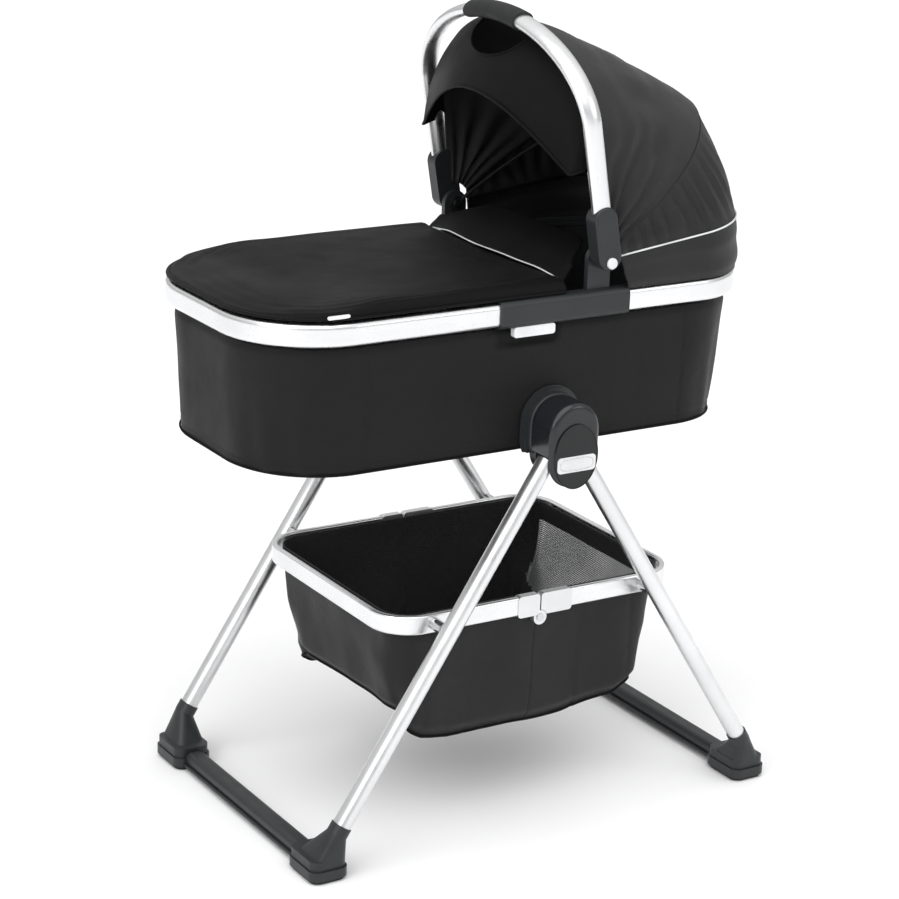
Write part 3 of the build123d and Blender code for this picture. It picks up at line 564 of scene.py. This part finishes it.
shellRows = []
for j in range(tub["rows"] + 1):
    z = tub["top"] + (tub["low"] + 0.004 - tub["top"]) * j / tub["rows"]
    loop = tubLoop(z, 0.0)
    shellRows.append([p + outwardAt(loop, i) * (shellPush(p, outwardAt(loop, i)) - 0.0012)
                      for i, p in enumerate(loop)])
for inset, drop in ((0.0022, 0.0012), (0.0048, -0.0002), (0.011, -0.0008), (0.020, -0.0010)):
    loop = tubLoop(tub["low"] + drop, inset)
    shellRows.append(loop)
tubShell = clothGrid("tubShell", shellRows, cloths["shellNylon"], closed=True, flip=True)
thicken(tubShell, tub["wall"])
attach(tubShell, "bassinet")
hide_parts("tub_fabric")

# bound edge where the shell meets its base
edgeBinding = tubeAlong("tubEdgeBinding", tubLoop(tub["low"] + 0.0035, 0.0006), 0.0016, cloths["apronNylon"],
                        closed=True, sides=8)
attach(edgeBinding, "bassinet")
print("tub shell made")

# liner inside the tub, with a rolled top edge
liner = {"top": 0.7895, "low": 0.5775, "rows": 24, "inset": 0.0150, "wall": 0.0024, "roll": 0.0032}
liningRows = []
for j in range(liner["rows"] + 1):
    z = liner["top"] + (liner["low"] - liner["top"]) * j / liner["rows"]
    loop = tubLoop(z, liner["inset"])
    liningRows.append([p + outwardAt(loop, i) * (0.0012 * ripple(p.x * 9, p.y * 9, z * 12)
                                                - 0.0020 * smoothStep(0.70, 0.60, z)) for i,
                                                p in enumerate(loop)])
liningRows.append(tubLoop(liner["low"] + 0.0006, 0.035))
tubLining = clothGrid("tubLining", liningRows, cloths["linerKnit"], closed=True)
thicken(tubLining, liner["wall"], 1.0)
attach(tubLining, "bassinet")
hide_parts("tub_liner")
liningRoll = tubeAlong("liningRoll", tubLoop(liner["top"] - 0.001, liner["inset"] + 0.0015), liner["roll"],
                       cloths["linerKnit"], closed=True, sides=10)
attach(liningRoll, "bassinet")

# mattress: a quilted pad, swollen by simulation
bed = {"low": 0.5815, "top": 0.607, "inset": 0.028, "pressure": 3.0, "cap": 0.005}
bedRows = []
for inset, z in ((0.02, bed["low"]), (0.004, bed["low"] + 0.002), (0.0, bed["low"] + 0.008),
                 (0.0, bed["top"] - 0.008), (0.004, bed["top"] - 0.002), (0.02, bed["top"])):
    bedRows.append(tubLoop(z, bed["inset"] + inset)[::3])
bedCount = len(bedRows[0])
bedPoints = [p for row in bedRows for p in row]
bedFaces = []
for j in range(len(bedRows) - 1):
    for i in range(bedCount):
        k = (i + 1) % bedCount
        bedFaces.append((j * bedCount + i, j * bedCount + k, (j + 1) * bedCount + k, (j + 1) * bedCount + i))
bedFaces.append(tuple(reversed(range(bedCount))))
bedFaces.append(tuple((len(bedRows) - 1) * bedCount + i for i in range(bedCount)))
mattressPad = newPiece("mattressPad", bedPoints, bedFaces, mattressCloth)
puff(mattressPad, bed["pressure"], bed["cap"])
for vertex in mattressPad.data.vertices:
    vertex.co.z = max(vertex.co.z, 0.5805)
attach(mattressPad, "bassinet")
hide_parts("mattress")
print("liner and mattress made")

# apron over the foot end
apron = {"headX": 0.046, "edge": 0.0040, "low": 0.7962, "wall": 0.0020, "rings": 60, "rollRadius": 0.0030}


def apronHeight(x):
    table = ((-0.43, 0.7975), (-0.400, 0.7990), (-0.375, 0.8015), (-0.347, 0.8045), (-0.234, 0.8115),
             (0.0, 0.8130), (0.06, 0.8120))
    for (xa, za), (xb, zb) in zip(table, table[1:]):
        if x <= xb:
            return za + (zb - za) * smoothStep(0, 1, (x - xa) / (xb - xa))
    return table[-1][1]


def apronEdge(inset, z):
    # from the near side round the foot end to the far side
    loop = rimLoop(z, inset, 90, 26, 26)
    size = len(loop)
    start = next(i for i, p in enumerate(loop) if p.x > apron["headX"] - 0.002)
    ring = [loop[(start - i) % size] for i in range(size)]
    ring = [p for p in ring if p.x <= apron["headX"] - 0.002]
    return [Vector((apron["headX"], ring[0].y, z))] + ring + [Vector((apron["headX"], ring[-1].y, z))]


apronOuter = apronEdge(apron["edge"], apron["low"])
apronRows = []
for j in range(apron["rings"] + 1):
    t = (j + 0.6) / (apron["rings"] + 0.6)
    row = []
    for p in apronOuter:
        flatPoint = Vector((apron["headX"] + (p.x - apron["headX"]) * t, p.y * t, 0.0))
        inward = (1 - t) * math.hypot(p.x - apron["headX"], p.y)
        edgeGap = min(inward, 0.25)
        x, y = flatPoint.x, flatPoint.y
        top = apronHeight(x) - 0.0035 * math.exp(-((y / 0.11) ** 2)) * smoothStep(-0.40, -0.2, x)
        drop = max(0.0, top - apron["low"])
        roundOff = 1.0 - math.sqrt(max(0.0, 1.0 - (1.0 - min(1.0, edgeGap / 0.016)) ** 2))
        z = top - drop * roundOff
        footness = smoothStep(-0.10, -0.34, x)
        # rolls of slack cloth that run along the edge, strongest round the foot end
        rolls = math.sin(edgeGap * 2 * math.pi / 0.021 + 2.2 * ripple(x * 9,
                                                                      y * 9)) * math.exp(-edgeGap / 0.030)
        z += 0.0024 * rolls * (0.35 + 0.65 * footness) * smoothStep(0.003, 0.012, edgeGap)
        near = smoothStep(-0.08, -0.17, y) + smoothStep(0.08, 0.17, y)
        z += 0.0022 * ripple(x * 5.5 + 1.7, y * 17, 2.0) * near * smoothStep(0.004, 0.03, edgeGap)
        z += 0.0030 * ripple(x * 6, y * 6, 7.0) * smoothStep(0.004, 0.05, edgeGap)
        z += 0.0009 * ripple(x * 21, y * 21, 4.0) * smoothStep(0.004, 0.03, edgeGap)
        row.append(Vector((x, y, z)))
    apronRows.append(row)
apronCover = clothGrid("apronCover", apronRows, cloths["apronNylon"], flip=True)
thicken(apronCover, apron["wall"])
hemRows = [Vector((p.x, p.y, apron["low"] + 0.0016)) for p in apronOuter]
apronHem = tubeAlong("apronHem", hemRows, apron["rollRadius"], cloths["apronNylon"], sides=10, flat=0.8)
secondRoll = tubeAlong("apronSecondHem", [Vector((p.x * 0.985 + 0.0008, p.y * 0.972, apronHeight(p.x) - 0.0030
                                                  + 0.0008 * ripple(p.x * 30, p.y * 30)))
                                          for p in apronOuter[30:-30]], 0.0022, cloths["apronNylon"], sides=8)
for piece in (apronCover, apronHem, secondRoll):
    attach(piece, "bassinet")
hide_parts("apron")
print("apron made")

# wind guard flap with silver piping along its foot
guard = {"halfWidth": 0.176, "rows": 26, "cols": 70, "footX": 0.046, "topX": 0.130, "footZ": 0.8135,
         "topZ": 0.8465, "wall": 0.0024}


def guardPoint(u, v):
    # u runs across from -1 to 1, v from the piping to the free edge
    corner = smoothStep(0.62, 1.0, abs(u))
    reach = v * (1.0 - 0.62 * corner ** 1.3)
    x = guard["footX"] + (guard["topX"] - guard["footX"]) * reach - 0.006 * u * u * v + 0.010 * u * u * (1
                                                                                                         - v)
    z = guard["footZ"] - 0.006 * smoothStep(0.6, 1.0, abs(u)) + (guard["topZ"] - guard["footZ"]) * reach
    z += 0.0045 * math.sin(math.pi * min(1.0, reach)) + 0.0012 * ripple(u * 2.5, v * 2.5, 9.0)
    return Vector((x, u * guard["halfWidth"] * (1 + 0.03 * (1 - v)), z))


guardRows = [[guardPoint(2 * i / guard["cols"] - 1, j / guard["rows"]) for i in range(guard["cols"] + 1)]
             for j in range(guard["rows"] + 1)]
windFlap = clothGrid("windFlap", guardRows, cloths["apronNylon"])
thicken(windFlap, guard["wall"])
flapPiping = tubeAlong("windFlapPiping", [guardPoint(2 * i / 60 - 1, 0.0) + Vector((-0.0012, 0, 0.0014))
                                          for i in range(2, 59)], 0.0011, pipingSilver, sides=8)
flapHem = tubeAlong("windFlapHem", [guardPoint(2 * i / 60 - 1, 1.0) for i in range(61)], 0.0018,
                    cloths["apronNylon"], sides=8)
for piece in (windFlap, flapPiping, flapHem):
    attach(piece, "bassinet")
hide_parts("wind_guard")

# canopy, drawn in planes that turn about the swing axis
canopy = {"tubeAngle": 97.0, "roofStart": 96.5, "visorAngle": 115.0, "bowAngle": 35.0, "pipingAngle": 7.0,
          "wall": 0.0016, "cols": 150}


def bowPoint(angle, y, height):
    turn = math.radians(angle)
    return Vector((swing["x"] + height * math.cos(turn), y, swing["z"] + height * math.sin(turn)))


def archLine(halfWidth, shoulder, reach, start, count):
    # (y, height) pairs along an arch, evenly spaced
    dense = [Vector((-halfWidth, start + (shoulder - start) * i / 20, 0)) for i in range(20)]
    for i in range(161):
        turn = math.pi * i / 160
        dense.append(Vector((-halfWidth * math.cos(turn), shoulder + (reach - shoulder) * math.sin(turn), 0)))
    dense += [Vector((halfWidth, shoulder - (shoulder - start) * i / 20, 0)) for i in range(1, 21)]
    return resample(dense, count)


visor = {"rows": 22, "sideHeight": 0.138, "frontLift": 0.102, "holeHalf": 0.068, "holeDepth": 0.046,
         "bulge": 0.007,
         "cornerTuck": 0.55}
visorBack = archLine(0.2035, 0.165, 0.3135, visor["sideHeight"], canopy["cols"] + 1)
visorRows = []
for j in range(visor["rows"] + 1):
    row = []
    for i, back in enumerate(visorBack):
        s = 2 * i / canopy["cols"] - 1
        frontY = 0.199 * math.copysign(math.sin(abs(s) * math.pi / 2) ** 0.92, s)
        frontH = visor["sideHeight"] - 0.004 + visor["frontLift"] * max(0.0,
                                                                        1 - (frontY / 0.199) ** 2) ** 1.15
        t0 = 0.0
        if abs(back.x) < visor["holeHalf"]:
            t0 = visor["holeDepth"] * math.sqrt(1 - (back.x / visor["holeHalf"]) ** 2) / max(
                0.02, back.y - frontH)
        t = t0 + (1 - t0) * j / visor["rows"]
        cornerTuck = 1.0 - visor["cornerTuck"] * smoothStep(0.84, 1.0, abs(s)) ** 1.5
        angle = canopy["tubeAngle"] + (canopy["visorAngle"] - canopy["tubeAngle"]) * t * cornerTuck
        y = back.x + (frontY - back.x) * t
        height = back.y + (frontH - back.y) * t + visor["bulge"] * math.sin(math.pi * t)
        height += 0.0016 * ripple(y * 11, t * 2.2, 3.0) * math.sin(math.pi * min(1, t + 0.1))
        row.append(bowPoint(angle, y, height))
    visorRows.append(row)
visorHood = clothGrid("canopyVisorHood", visorRows, cloths["apronNylon"])
thicken(visorHood, 0.0022)
visorHem = tubeAlong("canopyVisorHem", visorRows[-1], 0.0022, cloths["apronNylon"], sides=8)
holeHem = tubeAlong("handHoleHem", [p for p, back in zip(visorRows[0],
                                                         visorBack) if abs(back.x) < visor["holeHalf"]],
                    0.0016, cloths["apronNylon"], sides=8)
visorTrim = [visorHem, holeHem]
for piece in [visorHood] + visorTrim:
    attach(piece, "handle")
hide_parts("canopy_visor")

roofTable = ((96.5, 0.2030, 0.165, 0.3130), (88.0, 0.2010, 0.150, 0.3000), (77.0, 0.2000, 0.132, 0.2860),
             (66.0, 0.1990, 0.115, 0.2820), (56.0, 0.1985, 0.105, 0.2840), (45.0, 0.1980, 0.092, 0.2980),
             (35.0, 0.1960, 0.075, 0.3175))


def roofShape(angle):
    for a, b in zip(roofTable, roofTable[1:]):
        if angle >= b[0]:
            t = (a[0] - angle) / (a[0] - b[0])
            return [p + (q - p) * t for p, q in zip(a[1:], b[1:])]
    return roofTable[-1][1:]


roof = {"rows": 60, "foot": 0.030}
roofRows, roofAngles = [], []
for j in range(roof["rows"] + 1):
    angle = canopy["roofStart"] + (canopy["bowAngle"] - canopy["roofStart"]) * j / roof["rows"]
    halfWidth, shoulder, reach = roofShape(angle)
    line = archLine(halfWidth, shoulder, reach, roof["foot"], canopy["cols"] + 1)
    between = math.sin(math.pi * j / roof["rows"])
    row = []
    for i, place in enumerate(line):
        fromFoot = min(i, canopy["cols"] - i) / canopy["cols"]
        side = -1 if i < canopy["cols"] / 2 else 1
        pleat = math.sin(math.radians(angle) * 26 + side * 1.3 + 3.5 * ripple(fromFoot * 9, angle * 0.03,
                                                                              side))
        push = 0.0042 * pleat * smoothStep(0.30, 0.06, fromFoot) * between
        slant = math.sin((angle * 0.9 + fromFoot * 330 * 0.9) * 0.16 + 2.0 * ripple(angle * 0.04,
                                                                                    fromFoot * 10))
        push += 0.0034 * slant * between * smoothStep(0.40, 0.28, fromFoot) * smoothStep(0.10, 0.2, fromFoot)
        push += 0.0028 * ripple(angle * 0.06, fromFoot * 14, side * 3.0) * between
        hollow = 0.0035 * between * math.exp(-((fromFoot - 0.27) / 0.12) ** 2)
        radial = Vector((place.x, place.y * 0.8, 0)).normalized() if place.length else Vector((0, 1, 0))
        moved = place + radial * (push - hollow)
        row.append(bowPoint(angle, moved.x, moved.y))
    roofRows.append(row)
    roofAngles.append(angle)


def weighByAngle(piece, fromAngle, toAngle):
    # the share of each point that follows the second body, by its turn about the swing axis
    layer = piece.data.attributes["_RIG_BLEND"]
    for vertex, item in zip(piece.data.vertices, layer.data):
        angle = math.degrees(math.atan2(vertex.co.z - swing["z"], vertex.co.x - swing["x"]))
        item.value = min(1.0, max(0.0, (fromAngle - angle) / (fromAngle - toAngle)))


roofCloth = clothGrid("canopyRoofCloth", roofRows, cloths["canopyNylon"])
thicken(roofCloth, canopy["wall"])
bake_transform(roofCloth, "handle", "rear_bow", start=bowPoint(96.5, 0, 0.25), end=bowPoint(35.0, 0, 0.25))
weighByAngle(roofCloth, 96.5, 35.0)
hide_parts("canopy_roof")


def skirtEdge(angle, inset):
    # the rim's outline carried up into a plane through the swing axis, near side to far side
    loop = rimLoop(0.0, inset, 90, 30, 24)
    size = len(loop)
    start = next(i for i, p in enumerate(loop) if p.x > skirt["footX"])
    ring = [loop[(start + i) % size] for i in range(size)]
    ring = [p for p in ring if p.x > skirt["footX"]]
    line = [Vector((skirt["footX"], ring[0].y, 0))] + ring + [Vector((skirt["footX"], ring[-1].y, 0))]
    slope = math.tan(math.radians(angle))
    return [Vector((p.x, p.y, swing["z"] - 0.002 + (p.x - swing["x"]) * slope)) for p in line]


skirt = {"footX": 0.133, "low": 0.7925, "rows": 26, "wall": 0.0018}
backRows = []
backCount = 36
seamLine = [bowPoint(35.0, p.x, p.y) for p in archLine(0.196, 0.075, 0.3175, roof["foot"],
                                                       canopy["cols"] + 1)]
pipingLine = resample(skirtEdge(canopy["pipingAngle"], 0.0045), canopy["cols"] + 1)
for j in range(backCount + 1):
    t = j / backCount
    row = []
    for i in range(canopy["cols"] + 1):
        a, b = seamLine[i], pipingLine[i]
        base = a.lerp(b, t)
        s = 2 * i / canopy["cols"] - 1
        outward = Vector((base.x - 0.20, base.y * 1.25, (base.z - 0.80) * 0.45)).normalized()
        belly = 0.010 * math.sin(math.pi * t) * (0.4 + 0.6 * smoothStep(0.7, 0.2, abs(s)))
        gather = math.sin(i * 2 * math.pi / 4.9 + 3.0 * ripple(s * 7, t * 1.1, 5.0))
        strength = math.sin(math.pi * min(1.0, 0.12 + t * 0.9)) * (0.25 + 0.75 * smoothStep(0.25, 0.6,
                                                                                            abs(s)))
        push = 0.0036 * gather * strength * smoothStep(0.0, 0.12, t)
        push += 0.0024 * ripple(s * 6, t * 2.5, 8.0) * math.sin(math.pi * t)
        row.append(base + outward * (push + belly))
    backRows.append(row)
backCloth = clothGrid("canopyBackCloth", backRows, cloths["canopyNylon"])
thicken(backCloth, canopy["wall"])
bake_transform(backCloth, "rear_bow", "bassinet", start=bowPoint(35.0, 0, 0.25), end=bowPoint(7.0, 0, 0.25))
weighByAngle(backCloth, 35.0, 8.5)
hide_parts("canopy_back")

bowSeam = tubeAlong("canopyBowSeam", [p + Vector((0.0006, 0, 0.0002)) for p in roofRows[-1]], 0.0016,
                    cloths["apronNylon"], sides=8)
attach(bowSeam, "rear_bow")
print("canopy roof and back made")

# skirt between the rim and the silver piping
topLine = skirtEdge(canopy["pipingAngle"], 0.0040)
lowLine = skirtEdge(0.0, 0.0010)
skirtRows = []
for j in range(skirt["rows"] + 1):
    t = j / skirt["rows"]
    row = []
    for i, (a, b) in enumerate(zip(topLine, lowLine)):
        foot = Vector((b.x + 0.017 * smoothStep(0.19, 0.13, b.x), b.y, skirt["low"]))
        base = a.lerp(foot, t)
        outward = Vector((base.x - 0.283 if base.x > 0.283 else 0.0,
                          math.copysign(max(abs(base.y) - 0.095, 0.0),
                                                                                 base.y), 0.0))
        outward = outward.normalized() if outward.length else Vector((1, 0, 0))
        push = 0.0035 * math.sin(math.pi * min(1.0, t * 1.02)) + 0.0016 * ripple(base.x * 14, base.y * 14,
                                                                                 t * 2)
        push += 0.0018 * math.sin(t * 9 + 4 * ripple(base.x * 6, base.y * 6,
                                                     2.0)) * smoothStep(0.1, 0.4, t) * smoothStep(
            1.0, 0.8, t)
        row.append(base + outward * push)
    skirtRows.append(row)
skirtCloth = clothGrid("canopySkirtCloth", skirtRows, cloths["canopyNylon"])
thicken(skirtCloth, skirt["wall"])
skirtPiping = tubeAlong("canopySkirtPiping", [p + Vector((0, 0, 0.0008)) for p in resample(
    skirtEdge(canopy["pipingAngle"], 0.0020), 130)], 0.0014, pipingSilver, sides=8)
seamTape = tubeAlong("canopySeamTape", [p + Vector((0, 0, 0.0004)) for p in resample(
    skirtEdge(canopy["pipingAngle"], 0.0072), 130)], 0.0026, cloths["apronNylon"], sides=8)
for piece in (skirtCloth, skirtPiping, seamTape):
    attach(piece, "bassinet")
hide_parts("canopy_skirt")
print("canopy skirt made")

# lining carried over the top of the head rail, under the canopy
coverRows = []
for inset, z in ((0.0190, 0.7880), (0.0172, 0.7925), (0.0150, 0.7948), (0.0100, 0.7954), (0.0052, 0.7946)):
    coverRows.append([Vector((max(p.x, 0.1545), p.y, z + 0.0005 * ripple(p.x * 20, p.y * 20)))
                      for p in resample(skirtEdge(0.0, inset), 160)])
rimCover = clothGrid("rimLiningCover", coverRows, cloths["linerKnit"])
thicken(rimCover, 0.0014)
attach(rimCover, "bassinet")

# storage basket bag, one half for each half of its frame
bag = {"top": 0.3465, "inset": 0.0155, "halfLength": 0.250, "halfWidth": 0.199, "radius": 0.060,
       "wall": 0.0022,
       "wallRows": 34, "floorRows": 14, "keep": 0.16}


def bagBottom(x):
    table = ((-0.23, 0.198), (-0.18, 0.168), (-0.144, 0.146), (-0.10, 0.1395), (-0.03, 0.1385),
             (0.096, 0.142),
             (0.187, 0.153), (0.216, 0.167), (0.27, 0.185))
    for (xa, za), (xb, zb) in zip(table, table[1:]):
        if x <= xb:
            return za + (zb - za) * max(0.0, (x - xa) / (xb - xa))
    return table[-1][1]


def bagRing(half):
    # half outline of the bag's mouth, from the near hinge round to the far hinge
    loop = outlineLoop(0.0, hubX - bag["halfLength"] + bag["inset"], hubX + bag["halfLength"] - bag["inset"],
                       bag["halfWidth"] - bag["inset"], bag["radius"] - bag["inset"],
                       bag["radius"] - bag["inset"],
                       80, 16, 60)
    size = len(loop)
    if half == "head":
        start = next(i for i, p in enumerate(loop) if p.x > hubX + 0.002)
        ring = [loop[(start + i) % size] for i in range(size)]
        ring = [p for p in ring if p.x > hubX + 0.002]
    else:
        start = next(i for i, p in enumerate(loop) if p.x > hubX - 0.004)
        ring = [loop[(start - i) % size] for i in range(size)]
        ring = [p for p in ring if p.x < hubX - 0.002]
    return [Vector((hubX, ring[0].y, 0))] + ring + [Vector((hubX, ring[-1].y, 0))]


for half, body, frameNode, cadNode in (("foot", "basket_foot_half", "basket_frame_foot", "basket_bag_foot"),
                                       ("head", "basket_head_half", "basket_frame_head", "basket_bag_head")):
    ring = resample(bagRing(half), 150)
    out = -1 if half == "foot" else 1
    rows = []
    for j in range(bag["wallRows"] + 1):
        t = j / bag["wallRows"]
        row = []
        for i, p in enumerate(ring):
            low = bagBottom(p.x)
            z = bag["top"] + (low - bag["top"]) * t
            ahead = ring[min(i + 1, len(ring) - 1)] - ring[max(i - 1, 0)]
            outward = Vector((ahead.y, -ahead.x, 0)).normalized() * out
            below = bag["top"] - z
            lean = 0.010 * (below / 0.2) ** 1.4 + 0.010 * smoothStep(0.90, 1.0, t)
            endLean = 0.016 * (below / 0.2) * smoothStep(0.15, 0.23, abs(p.x - hubX))
            round_ = 0.024 * smoothStep(0.5, 1.0, t) * smoothStep(0.19, 0.235, abs(p.x - hubX)) * smoothStep(
                0.10, 0.18, abs(p.y))
            wave = 0.0036 * math.sin(p.x * 34 + p.y * 30 + 3 * ripple(p.x * 5, p.y * 5,
                                                                      z * 5)) * smoothStep(0.05, 0.5, t)
            wave += 0.0048 * ripple(p.x * 9, p.y * 9, z * 8) * smoothStep(0.0, 0.2, t)
            wave += 0.0012 * ripple(p.x * 25, p.y * 25, z * 14 + 3) * smoothStep(0.0, 0.2, t)
            seamDip = 0.0
            for seamX in (hubX - 0.175, hubX - 0.10, hubX + 0.085, hubX + 0.175):
                seamDip += 0.0013 * math.exp(-((p.x - seamX) / 0.0025) ** 2) * smoothStep(0.12, 0.17,
                                                                                          abs(p.y))
            row.append(Vector((p.x, p.y, z)) + outward * (wave - lean - endLean - round_ - seamDip))
        rows.append(row)
    rim0 = rows[-1]
    for j in range(1, bag["floorRows"] + 1):
        t = j / bag["floorRows"]
        row = []
        for p in rim0:
            x = p.x + (hubX - p.x) * t * 0.999
            y = p.y * (1 - t * 0.985)
            sag = 0.006 * math.sin(math.pi * min(1.0, t * 1.4 + 0.02))
            z = p.z + (bagBottom(hubX) + 0.003 - p.z) * smoothStep(0, 1, t) - sag * smoothStep(0.18, 0.0,
                                                                                               abs(x - hubX))
            z += 0.0025 * ripple(x * 12, y * 12, 6.0) * smoothStep(0.0, 0.2, t)
            row.append(Vector((x, y, max(z, 0.1335))))
        rows.append(row)
    bagCloth = clothGrid("basketBag" + half.title(), rows, cloths["basketNylon"], flip=(half == "head"))
    bagCloth.data.materials.append(innerNet)
    thicken(bagCloth, bag["wall"], -1.0, insideSlot=1)
    if half == "head":
        # see-through net across the head end wall
        bagCloth.data.materials.append(netCloth)
        for face in bagCloth.data.polygons:
            c = face.center
            if c.x > 0.236 and abs(c.y) < 0.150 and 0.175 < c.z < 0.318:
                face.material_index = 2
    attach(bagCloth, body)
    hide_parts(cadNode)
    trim = []
    hemLine = [p + Vector((0, 0, -0.0006)) for p in rim0]
    binding = tubeAlong("basketBinding" + half.title(), hemLine, 0.0020, cloths["apronNylon"], sides=8)
    trim.append(binding)
    if half == "head":
        bandRow = rows[5]
        band = tubeAlong("basketBand", [p for p in bandRow if p.x > 0.22 and abs(p.y) < 0.168], 0.0016,
                         cloths["basketNylon"], sides=6)
        trim.append(band)
    for piece in trim:
        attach(piece, body)
    for piece in [bagCloth] + trim:
        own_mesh(piece)
print("basket bag made")

# thin rims round the hub covers and their blank badges, in metres
hubTrim = {"coverRim": (64, 0.2646, 0.0355, 0.0465, 0.576, 1.0), "coverWire": 0.0008,
           "badgeRim": (40, 0.26575, 0.0275, 0.0085, 0.566, 0.6), "badgeWire": 0.0005}


def trimLoop(side, count, outY, halfWide, halfHigh, midZ, power):
    # a power below one squares the ellipse off toward a rectangle
    points = []
    for i in range(count):
        turn = 2 * math.pi * i / count
        across = math.copysign(abs(math.cos(turn)) ** power, math.cos(turn))
        rise = math.copysign(abs(math.sin(turn)) ** power, math.sin(turn))
        points.append(Vector((hubMidX + halfWide * across, side * outY, midZ + halfHigh * rise)))
    return points


for side, label in ((-1, "Near"), (1, "Far")):
    ringPiece = tubeAlong("hubCoverRing" + label, trimLoop(side, *hubTrim["coverRim"]), hubTrim["coverWire"],
                          blackPlastic, closed=True, sides=6)
    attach(ringPiece, "stand_hubs")
    platePiece = tubeAlong("badgeBorder" + label, trimLoop(side, *hubTrim["badgeRim"]), hubTrim["badgeWire"],
                           steelMetal, closed=True, sides=6)
    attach(platePiece, "stand_hubs")

# floor, light and camera
bpy.context.scene.view_settings.view_transform = "Standard"
floorMaterial, floorTree, floorShader = startMaterial("studioFloor", (0.86, 0.86, 0.865), 0.9)
floorTone = addGroup(floorTree, toneGroup, -700, 300, Scale=1.5, Low=0.99, High=1.01)
tintBy(floorTree, floorShader, (0.86, 0.86, 0.865), floorTone.outputs["Factor"])
floorRows = [[Vector((40.0 * x / 4, 40.0 * y / 4, -0.0006)) for x in range(-4, 5)] for y in range(-4, 5)]
studioGround = clothGrid("studioGround", floorRows, floorMaterial)

world = bpy.data.worlds.new("studio")
bpy.context.scene.world = world
world.use_nodes = True
skyTree = world.node_tree
sky = skyTree.nodes["Background"]
sky.inputs["Strength"].default_value = 1.0
skyPlace = nodeAt(skyTree, "ShaderNodeTexCoord", -800, 0)
skySplit = nodeAt(skyTree, "ShaderNodeSeparateXYZ", -600, 0)
skyTree.links.new(skyPlace.outputs["Generated"], skySplit.inputs[0])
skyRamp = nodeAt(skyTree, "ShaderNodeValToRGB", -400, 0)
skyRamp.color_ramp.elements[0].position = 0.0
skyRamp.color_ramp.elements[0].color = (0.42, 0.42, 0.425, 1)
skyRamp.color_ramp.elements[1].position = 0.75
skyRamp.color_ramp.elements[1].color = (0.95, 0.95, 0.95, 1)
skyTree.links.new(skySplit.outputs[2], skyRamp.inputs[0])
skyTree.links.new(skyRamp.outputs[0], sky.inputs["Color"])


def softLight(name, place, target, size, power):
    data = bpy.data.lights.new(name, "AREA")
    data.shape = "SQUARE"
    data.size = size
    data.energy = power
    lamp = bpy.data.objects.new(name, data)
    bpy.context.scene.collection.objects.link(lamp)
    lamp.location = place
    lamp.rotation_euler = (Vector(target) - Vector(place)).to_track_quat("-Z", "Y").to_euler()


sunData = bpy.data.lights.new("softSun", "SUN")
sunData.energy = 1.75
sunData.angle = math.radians(70)
sun = bpy.data.objects.new("softSun", sunData)
bpy.context.scene.collection.objects.link(sun)
sun.rotation_euler = Vector((0.35, 0.45, -1.0)).to_track_quat("-Z", "Y").to_euler()
softLight("leftLight", (-2.8, -1.2, 1.7), (0, 0, 0.6), 1.6, 20)
softLight("rightLight", (2.2, -3.0, 2.2), (0, 0, 0.6), 1.4, 14)

camera = {"azimuth": -32.2, "elevation": 17.9, "roll": 2.0, "distance": 3.9173,
          "target": (-0.0095, 0.0, 0.5157), "lens": 106.34, "sensor": 36.0}
a, e, r = (math.radians(camera[key]) for key in ("azimuth", "elevation", "roll"))
backward = Vector((math.sin(a) * math.cos(e), -math.cos(a) * math.cos(e), math.sin(e)))
level = Vector((math.cos(a), math.sin(a), 0))
upright = backward.cross(level)
rightward = level * math.cos(r) + upright * math.sin(r)
upward = upright * math.cos(r) - level * math.sin(r)
cameraData = bpy.data.cameras.new("photoCamera")
cameraData.sensor_width = camera["sensor"]
cameraData.lens = camera["lens"]
cameraPiece = bpy.data.objects.new("photoCamera", cameraData)
bpy.context.scene.collection.objects.link(cameraPiece)
place = Vector(camera["target"]) + backward * camera["distance"]
matrix = cameraPiece.matrix_world.copy()
for row in range(3):
    matrix[row][0], matrix[row][1], matrix[row][2] = rightward[row], upward[row], backward[row]
    matrix[row][3] = place[row]
cameraPiece.matrix_world = matrix
bpy.context.scene.camera = cameraPiece
print("stage, light and camera set")
